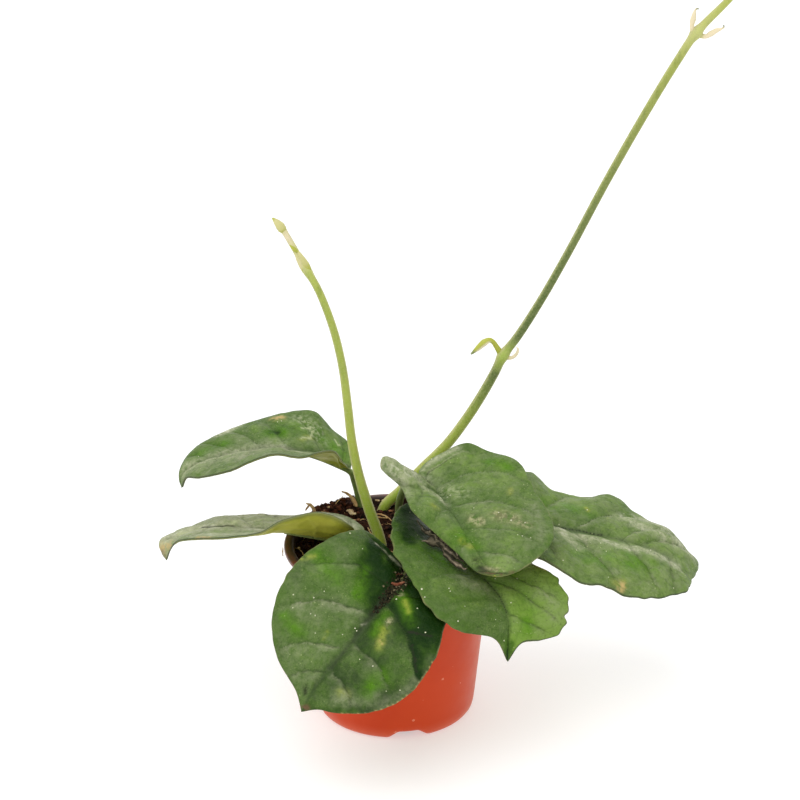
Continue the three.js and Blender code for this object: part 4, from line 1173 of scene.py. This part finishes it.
def add_leaflet(piece, leaflet, material):
    """A small leaf, as a flattened tube that is coloured along its length"""
    flatness, fold = leaflet.get("flatness", 0.4), leaflet.get("fold", 0.0)
    points, faces, share, angle = tube(leaflet["points"], leaflet["radii"], 18, 0.25, flatness, fold)
    cream = np.zeros(len(share))
    if "cream" in leaflet:
        cream = smooth_step(0.0, 0.5, np.cos(angle - leaflet["cream"])) * smooth_step(0.4, 0.55, share)
    tone = np.interp(share, (0, 0.3, 0.8, 1), leaflet["tone"])
    tip = smooth_step(0.84, 0.95, share) * leaflet.get("tip", 0)
    piece.add(points, faces, material, tone=tone, cream=cream, tip=tip)


def make_vine(name, material, leaflet_material, hair_material):
    """A shoot with its leaflets as one piece, and the hairs on it as another"""
    vine = VINES[name]
    piece = Piece(name + "_look")
    points, faces, share, angle = tube(vine["points"], vine["radii"], 24, 0.7, nodes=vine["nodes"])
    curve = Curve(vine["points"])
    colours = [curve.spread(vine[key], share) for key in ("tone", "blush", "stripe", "core")]
    tone, blush, stripe, core = colours
    # Painted light: the tone is lighter on one side of the stem, and the pale down lies along its outline
    # seen from the front as painted sheen
    front, side = np.abs(np.sin(angle)), np.cos(angle)
    piece.add(points, faces, material, tone=np.clip(tone - 0.12 * side, 0, 1), blush=blush,
              stripe=smooth_step(0.4, 0.85, front) * stripe, core=smooth_step(0.35, 0.9, front) * core,
              down=smooth_step(0.85, 0.4, front) * (0.8 + 0.2 * side))
    for leaflet in LEAFLETS[name]:
        add_leaflet(piece, leaflet, leaflet_material)
    piece.build("shoot", name)
    top = max(point[2] for point in vine["points"]) - BARE_TIP
    hairs = Piece(name + "_hairs")
    hairs.add(*scatter_hairs(points, faces, vine["hairs"], vine["hair_length"], SEED,
                             lambda point: BARE_FOOT < point[2] < top), hair_material)
    hairs.build("shoot")


def around_axis(radius, angles, height):
    """Points at a radius and a height, turned round the upright axis"""
    return np.stack(np.broadcast_arrays(radius * np.cos(angles), radius * np.sin(angles), height), -1)


def pot_profile():
    """Radius and height of the pot's outside from the middle of the foot to the lip, and back inside"""
    outside = [(radius, 0) for radius in (0, 8, 16, 22, 26, 28.6)]
    outside += [(30.2, 0.25), (31.4, 0.9), (32.2, 2), (32.6, 3.6), (33.0, 7), (33.5, 12), (34.3, 20),
                (35.5, 32), (36.7, 45), (37.8, 57.2), (38.1, 58.1), (39.2, 59.3), (40.6, 60.2), (41.1, 60.9),
                (41.25, 62), (41.6, 67), (41.9, 72.2), (42.2, 72.8), (43.2, 73.0), (44.0, 72.8),
                (44.2, 72.2), (44.25, 71.9), (44.5, 71.8), (44.85, 71.9), (RIM_RADIUS, 72.3),
                (RIM_RADIUS, 73.1), (44.85, 73.6), (44.4, 73.95), (43.5, POT_HEIGHT)]
    inside = [(42, 73.95), (41.3, 73.7), (41.0, 73.1), (40.7, 67), (40.35, 62), (40.1, 61.1), (39.2, 60.3),
              (37.8, 59.3), (37.1, 58.2), (36.85, 57.2), (35.8, 45), (34.6, 32), (33.4, 20), (32.6, 12),
              (32.1, 7), (31.7, 3.9), (31.2, 2.5), (30.3, 1.5), (28.6, 0.95)]
    inside += [(radius, WALL) for radius in (26, 22, 16, 8, 0)]
    return outside, inside


def notch_lift(radius, angle):
    """How far the foot is pressed up at each drain notch"""
    turn = (angle - math.radians(NOTCH_TURN)) % (math.pi / 2)
    turn = np.where(turn > math.pi / 4, turn - math.pi / 2, turn)
    sideways = np.abs(radius * np.sin(turn))
    return NOTCH_HEIGHT * (1 - smooth_step(*NOTCH_SIDES, sideways)) * smooth_step(*NOTCH_END, radius)


def make_pot(material):
    """The thin shell, turned from its profile and pressed up at the notches"""
    outside, inside = pot_profile()
    profile = np.array(outside[1:] + inside[:-1], float)
    is_inside = [0] * (len(outside) - 1) + [1] * (len(inside) - 1)
    angles = np.arange(POT_SECTORS) / POT_SECTORS * TURN
    radius, height = profile[:, :1], profile[:, 1:]
    shift = notch_lift(radius, angles) * np.clip(1 - height / NOTCH_REACH, 0, 1)
    points = around_axis(radius, angles, height + shift).reshape(-1, 3)
    points = np.vstack([points, (0, 0, 0), (0, 0, WALL)])
    piece = Piece("pot_shell")
    piece.add(points, ring_faces(len(profile), POT_SECTORS), material,
              inside=np.append(np.repeat(is_inside, POT_SECTORS), (0, 1)))
    cut_drains(piece.build("pot", "pot"))


def cut_drains(pot):
    """A round drain hole through the roof of each notch"""
    for index in range(4):
        x, y = polar(DRAIN_DISTANCE, math.radians(NOTCH_TURN + 90 * index))
        bpy.ops.mesh.primitive_cylinder_add(
            vertices=DRAIN_SIDES, radius=DRAIN_RADIUS * MM, depth=DRAIN_DEPTH * MM,
            location=(x * MM, y * MM, NOTCH_HEIGHT * MM))
        cutter = bpy.context.object
        cut = pot.modifiers.new("drain", "BOOLEAN")
        cut.operation = "DIFFERENCE"
        cut.solver = "EXACT"
        cut.object = cutter
        bpy.context.view_layer.objects.active = pot
        bpy.ops.object.modifier_apply(modifier=cut.name)
        bpy.data.objects.remove(cutter)


def peat_height(x, y):
    """Top of the peat: heaped at the back left, hollow at the front left"""
    height = PEAT_LEVEL
    for cx, cy, size, rise in PEAT_HEAPS:
        height = height + rise * np.exp(-((x - cx) ** 2 + (y - cy) ** 2) / size ** 2)
    return height + 0.7 * np.sin(x * 0.42 + y * 0.19) * np.sin(y * 0.37 - x * 0.11 + 1)


def peat_detail(x, y):
    """Lumps and crumbs on the peat's top at one place"""
    place = Vector((x, y, 0))
    lumps = noise.fractal(place * 0.22, 0.8, 2.1, 5)
    crumbs = noise.voronoi(place * 0.55)[0][0]
    return 1.2 * lumps + 1.6 * (0.45 - crumbs)


def peat_top(x, y):
    """Height of the peat's surface, lumps and all, at one place"""
    return float(peat_height(x, y)) + peat_detail(x, y)


def make_peat(material):
    """The body of peat: its side up the pot's wall, then its rough top in rings to the middle"""
    angles = np.arange(PEAT_SECTORS) / PEAT_SECTORS * TURN
    side = [(31.4, PEAT_BOTTOM), (34.3, 32), (36.5, 57.5), (37.4, 60.0), (40.3, 61.8)]
    layers = [around_axis(radius, angles, height) for radius, height in side]
    for radius in PEAT_RADIUS * (1 - np.linspace(0, 1, PEAT_RINGS + 1)[:-1]):
        x, y, _ = around_axis(radius, angles, 0).T
        detail = np.array([peat_detail(*place) for place in zip(x, y)])
        edge = min((PEAT_RADIUS - radius) / 3, 1)
        layers.append(around_axis(radius, angles, peat_height(x, y) + detail * (0.4 + 0.6 * edge)))
    ends = [(0, 0, PEAT_BOTTOM), (0, 0, peat_top(0.0, 0.0))]
    piece = Piece("peat")
    piece.add(np.vstack([*layers, ends]), ring_faces(len(layers), PEAT_SECTORS), material)
    piece.build("soil", "soil")


def crumb(centre, size, flat, seed, up=(0, 0, 1)):
    """Points and faces of a lump: spread over a ball, pushed about at random and flattened"""
    rng = random.Random(seed)
    golden = math.pi * (3 - math.sqrt(5))
    k = np.arange(CRUMB_POINTS)
    z = 1 - 2 * (k + 0.5) / CRUMB_POINTS
    points = around_axis(np.sqrt(1 - z * z), golden * k, z)
    points *= [[rng.uniform(0.65, 1.15)] for _ in k]
    points *= [size * rng.uniform(0.7, 1.3), size * rng.uniform(0.7, 1.3), size * flat]
    turn = rng.uniform(0, TURN)
    tilt = rng.uniform(-0.6, 0.6)
    cos, sin = math.cos(turn), math.sin(turn)
    spin = np.array([[cos, -sin, 0], [sin, cos, 0], [0, 0, 1]])
    cos, sin = math.cos(tilt), math.sin(tilt)
    lean = np.array([[1, 0, 0], [0, cos, -sin], [0, sin, cos]])
    stand = np.array(Vector((0, 0, 1)).rotation_difference(Vector(up)).to_matrix())
    return points @ (stand @ spin @ lean).T + np.asarray(centre), hull_faces(points)


def hull_faces(points):
    """Triangles of the convex hull of a few points"""
    shell = bmesh.new()
    verts = [shell.verts.new(point) for point in points]
    bmesh.ops.convex_hull(shell, input=verts)
    index = {vert: k for k, vert in enumerate(verts)}
    faces = [tuple(index[vert] for vert in face.verts) for face in shell.faces]
    shell.free()
    return faces


def scatter_crumbs(name, material, count, sizes, flat, seed):
    """Lumps all over the peat, sunk into it a little"""
    rng = random.Random(seed)
    piece = Piece(name)
    for index in range(count):
        radius = (PEAT_RADIUS - 1.5) * math.sqrt(rng.random())
        x, y = polar(radius, rng.uniform(0, TURN))
        size = rng.uniform(*sizes) * rng.uniform(0.6, 1)
        z = peat_top(x, y) + size * flat * (1 - 2 * CRUMB_SINK)
        piece.add(*crumb((x, y, z), size, flat, seed * 1000 + index), material)
    piece.build("soil")


def scatter_fibres(name, material, count, seed):
    """Thin curved strands that lie on the peat"""
    rng = random.Random(seed)
    piece = Piece(name)
    while count:
        radius = (PEAT_RADIUS - 3) * math.sqrt(rng.random())
        x, y = polar(radius, rng.uniform(0, TURN))
        heading = rng.uniform(0, TURN)
        step = rng.uniform(0.9, 2.6)
        path = []
        for _ in range(5):
            path.append((x, y, peat_top(x, y) + rng.uniform(0.1, 0.9)))
            heading += rng.uniform(-0.6, 0.6)
            x, y = x + step * math.cos(heading), y + step * math.sin(heading)
        if max(math.hypot(px, py) for px, py, _ in path) > PEAT_RADIUS - 1.5:
            continue
        thick = rng.uniform(0.1, 0.32)
        radii = [thick * share for share in (0.5, 1, 1, 0.8, 0.3)]
        piece.add(*tube(path, radii, 6, 0.6, flatness=rng.uniform(0.4, 1))[:2], material)
        count -= 1
    piece.build("soil")


def make_strands(material):
    """The larger twigs and strands that the peat's edge shows"""
    strands = [
        ([(-36.8, 25.3, 79), (-35.2, 25, 78.3), (-34, 24.5, 77.2), (-33, 24, 75)], [0.25, 0.6, 0.75, 0.5]),
        ([(-35.2, 25, 78.3), (-36.5, 24.5, 77), (-37, 24, 76)], [0.4, 0.4, 0.2]),
        ([(-22.3, 34.2, 80), (-20.5, 33.5, 79.6), (-18.5, 32, 78.7), (-16.8, 30.5, 77.2), (-16, 29.2, 75.2)],
         [0.3, 0.55, 0.7, 0.75, 0.5]),
        ([(-18.5, 32.5, 78), (-17.5, 32, 76.5), (-17, 31.5, 74.5)], [0.5, 0.5, 0.3]),
        ([(-21.7, 31.6, 79), (-23.6, 30.3, 77.5), (-25.2, 29, 76.2), (-26.6, 27.9, 74.5)],
         [0.14, 0.18, 0.17, 0.12]),
        ([(-40.5, -5, 73.5), (-38.8, -1.5, 71.5), (-37, -5, 70.8), (-33, -9, 70)], [0.12, 0.16, 0.14, 0.1]),
        ([(-9.5, 27, 73), (-6.3, 27.3, 72.8), (-3.5, 25, 72.8), (-1.5, 22, 72.4)], [0.25, 0.4, 0.35, 0.2]),
        ([(-8, 25, 72.6), (-5, 24.5, 72.6), (-2, 24, 72.4)], [0.2, 0.3, 0.2]),
        ([(-44.9, -12.5, 73.6), (-45.2, -11, 75), (-45, -10, 76.4)], [0.15, 0.25, 0.15]),
    ]
    piece = Piece("peat_strands")
    for path, radii in strands:
        points, faces, _, _ = tube(path, radii, 8, 0.4, 0.7)
        piece.add(points + crumpled(points, 2.5, SEED, 0.1), faces, material)
    piece.build("soil")


def crumpled(points, wavelength, seed, height):
    """How far each point is pushed about, smoothly and at random"""
    return np.stack([ripples(points, wavelength, seed + k) * height for k in range(3)], -1)


def make_chips(material):
    """Pale flakes of bark and stone: place, size and how flat each is"""
    chips = [((-18.3, 25.1, 75), 1.5, 0.35), ((-19.6, 26, 75.2), 0.9, 0.4), ((-16.8, 24.6, 74.4), 0.8, 0.5),
             ((-39, -0.7, 71.4), 0.9, 0.6), ((-4.3, 36.5, 74.6), 1.3, 0.5), ((-7.5, 37, 74.4), 1.0, 0.5),
             ((-1.5, 35.5, 74.2), 1.1, 0.5), ((2, 36.5, 73.6), 1.2, 0.5), ((-10, 33, 74.5), 1.0, 0.5),
             ((-30, 22, 76.5), 0.9, 0.5), ((-27.5, 25, 77.2), 0.8, 0.5), ((6, 25, 72), 0.9, 0.4)]
    piece = Piece("pale_chips")
    for seed, chip in enumerate(chips, 70):
        piece.add(*crumb(*chip, seed), material)
    piece.build("soil")


def scatter_heap(material):
    """Loose lumps that pile up at the back left, on the peat and then on the pot's lip"""
    rng = random.Random(SEED)
    piece = Piece("heaped_lumps")
    for seed in range(500, 630):
        x, y = rng.gauss(-26, 6), rng.gauss(29, 5)
        if math.hypot(x, y) > PEAT_RADIUS - 1:
            continue
        size = rng.uniform(0.6, 1.6)
        z = peat_top(x, y) + size * rng.uniform(0, 0.5)
        piece.add(*crumb((x, y, z), size, 0.55, seed), material)
    for seed in range(700, 810):
        angle = math.radians(rng.uniform(*HEAP_ARC))
        x, y = polar(rng.uniform(*HEAP_RING), angle)
        size = rng.uniform(0.5, 1.3)
        z = POT_HEIGHT + size * rng.uniform(0.1, 0.9)
        piece.add(*crumb((x, y, z), size, 0.6, seed), material)
    piece.build("soil")


def make_flecks(blades, material):
    """White specks of lime that sit on the leaves"""
    piece = Piece("lime_flecks")
    for name, places in FLECKS.items():
        for index, (along, across, size) in enumerate(places):
            point, up = blades[name].surface(along, across)
            piece.add(*crumb(point, size * 0.8, 0.5, index, up), material)
    piece.build("leaf")


def make_dirt(blade, dark, pale, chip):
    """Peat spilt along the foot of a leaf's midrib, with a chip of bark and a pale strand"""
    rng = random.Random(SEED)
    piece = Piece("spilt_peat")
    for index in range(DIRT_COUNT):
        along = rng.triangular(0.08, 0.5, 0.3)
        point, up = blade.surface(along, rng.gauss(-0.01, 0.02 + 0.16 * (0.5 - along)))
        size = rng.uniform(0.15, 0.55)
        points, faces = crumb(point + up * size * 0.1, size, 0.55, index, up)
        piece.add(points, faces, pale if rng.random() < 0.55 - 1.3 * along else dark)
    for start, end, radius in (((0.3, 0.07), (0.235, -0.1), 0.7), ((0.14, 0.03), (0.24, 0.1), 0.2)):
        path = blade.path(start, end, (0, 0.35, 0.7, 1), (0.3, 0.6, 0.7, 0.4))
        radii = [radius * share for share in (0.6, 1, 0.9, 0.5)]
        piece.add(*tube(path, radii, 8, 0.4, 0.6)[:2], chip)
    piece.build("leaf")


def make_withered(material):
    """Thin crumpled strips of dead leaf, bent like a roof"""
    piece = Piece("withered_margin")
    for index, (path, radii) in enumerate(WITHERED):
        points, faces, _, angle = tube(path, radii, 28, 0.3, 0.14, 0.5)
        folds = crumpled(points, 4, SEED + 3 * index, 0.4)
        creases = crumpled(points, 1.6, SEED + 30 + 3 * index, 0.1)
        # The ridge mask paints light along the roof's crest and shade on its sides
        ridge = folds[:, 1] + 0.45 - 1.3 * np.abs(np.cos(angle))
        piece.add(points + folds + creases, faces, material, ridge=ridge)
    piece.build("leaf")


def make_floor():
    """Plain pale floor that glows a little, so that it fades into the white behind it"""
    mesh = bpy.data.meshes.new("floor")
    corners = [(-1, -1), (1, -1), (1, 1), (-1, 1)]
    mesh.from_pydata([(x * FLOOR_REACH, y * FLOOR_REACH, 0) for x, y in corners], [], [(0, 1, 2, 3)])
    n = Nodes("floor")
    n.set(Base_Color=srgb(204, 204, 204), Roughness=0.9, Specular_IOR_Level=0.1)
    n.set(Emission_Color=srgb(255, 255, 255), Emission_Strength=0.46)
    n.material.cycles.emission_sampling = "NONE"
    mesh.materials.append(n.material)
    floor = link("floor", mesh)


def make_sun(name, towards, angle, strength):
    """Soft light from one side, the same over the whole floor"""
    light = bpy.data.lights.new(name, "SUN")
    light.angle = math.radians(angle)
    light.energy = strength
    link(name, light).rotation_euler = Vector(towards).to_track_quat("-Z", "Y").to_euler()


def make_studio():
    """Even white light from all round, and two soft suns"""
    make_floor()
    world = bpy.data.worlds.new("studio")
    world.use_nodes = True
    backdrop = world.node_tree.nodes["Background"]
    backdrop.inputs["Color"].default_value = (1, 1, 1, 1)
    backdrop.inputs["Strength"].default_value = SKY_STRENGTH
    bpy.context.scene.world = world
    make_sun("key", (0.35, 0.5, -1.0), 50, 1.5)
    make_sun("back", (-0.2, -1.0, -0.7), 70, 0.5)
    bpy.context.scene.view_settings.view_transform = "Standard"


def make_camera():
    data = bpy.data.cameras.new("camera")
    data.lens = LENS
    data.sensor_width = SENSOR
    camera = link("camera", data)
    camera.location = CAMERA_PLACE
    camera.rotation_euler = (math.radians(CAMERA_TILT), 0, 0)
    bpy.context.scene.camera = camera


def make_plant():
    upper, under = leaf_upper_material(), leaf_under_material()
    petiole = stem_material("petiole", (96, 124, 50), (120, 134, 66), (62, 90, 36), (150, 120, 80))
    shoot = stem_material("shoot", (186, 193, 84), (120, 134, 64), (66, 88, 28), (226, 212, 178))
    blades = {name: make_leaf(name, upper, under, petiole) for name in LEAVES}
    make_flecks(blades, plain_material("lime", (178, 180, 146), (226, 224, 200), 1500, 0.7))
    make_dirt(blades["leaf_front"],
              plain_material("spilt", (20, 18, 10), (56, 50, 32), 900, 0.95, 0.0002, 0.1),
              plain_material("spilt_pale", (74, 70, 50), (140, 128, 98), 900, 0.95, 0.0002, 0.1),
              plain_material("chip", (112, 56, 36), (158, 104, 78), 350, 0.8, 0.0002, 0.2))
    make_withered(withered_material())
    hair = plain_material("hair", (190, 196, 140), (214, 210, 170), 300, 0.6)
    leaflet = leaflet_material()
    for name in VINES:
        make_vine(name, shoot, leaflet, hair)


def make_soil():
    make_peat(peat_material())
    dark = plain_material("crumb_dark", (24, 13, 8), (66, 37, 24), 700, 0.95, 0.0003, 0.15)
    bark = plain_material("bark_chip", (96, 62, 44), (150, 104, 72), 500, 0.9, 0.0003, 0.2)
    straw = plain_material("straw", (168, 132, 88), (206, 174, 124), 400, 0.8, 0.0001, 0.3)
    scatter_crumbs("crumbs", dark, 700, (0.5, 1.5), 0.7, 3)
    scatter_crumbs("bark_chips", bark, 70, (0.7, 1.9), 0.35, 5)
    scatter_fibres("peat_fibres", straw, 120, 7)
    scatter_heap(plain_material("lump", (30, 15, 9), (84, 45, 28), 450, 0.95, 0.0004, 0.15))
    make_chips(plain_material("pale_chip", (150, 118, 82), (214, 192, 154), 350, 0.85, 0.0003, 0.2))
    make_strands(straw)


make_camera()
make_studio()
make_pot(pot_material())
make_soil()
make_plant()
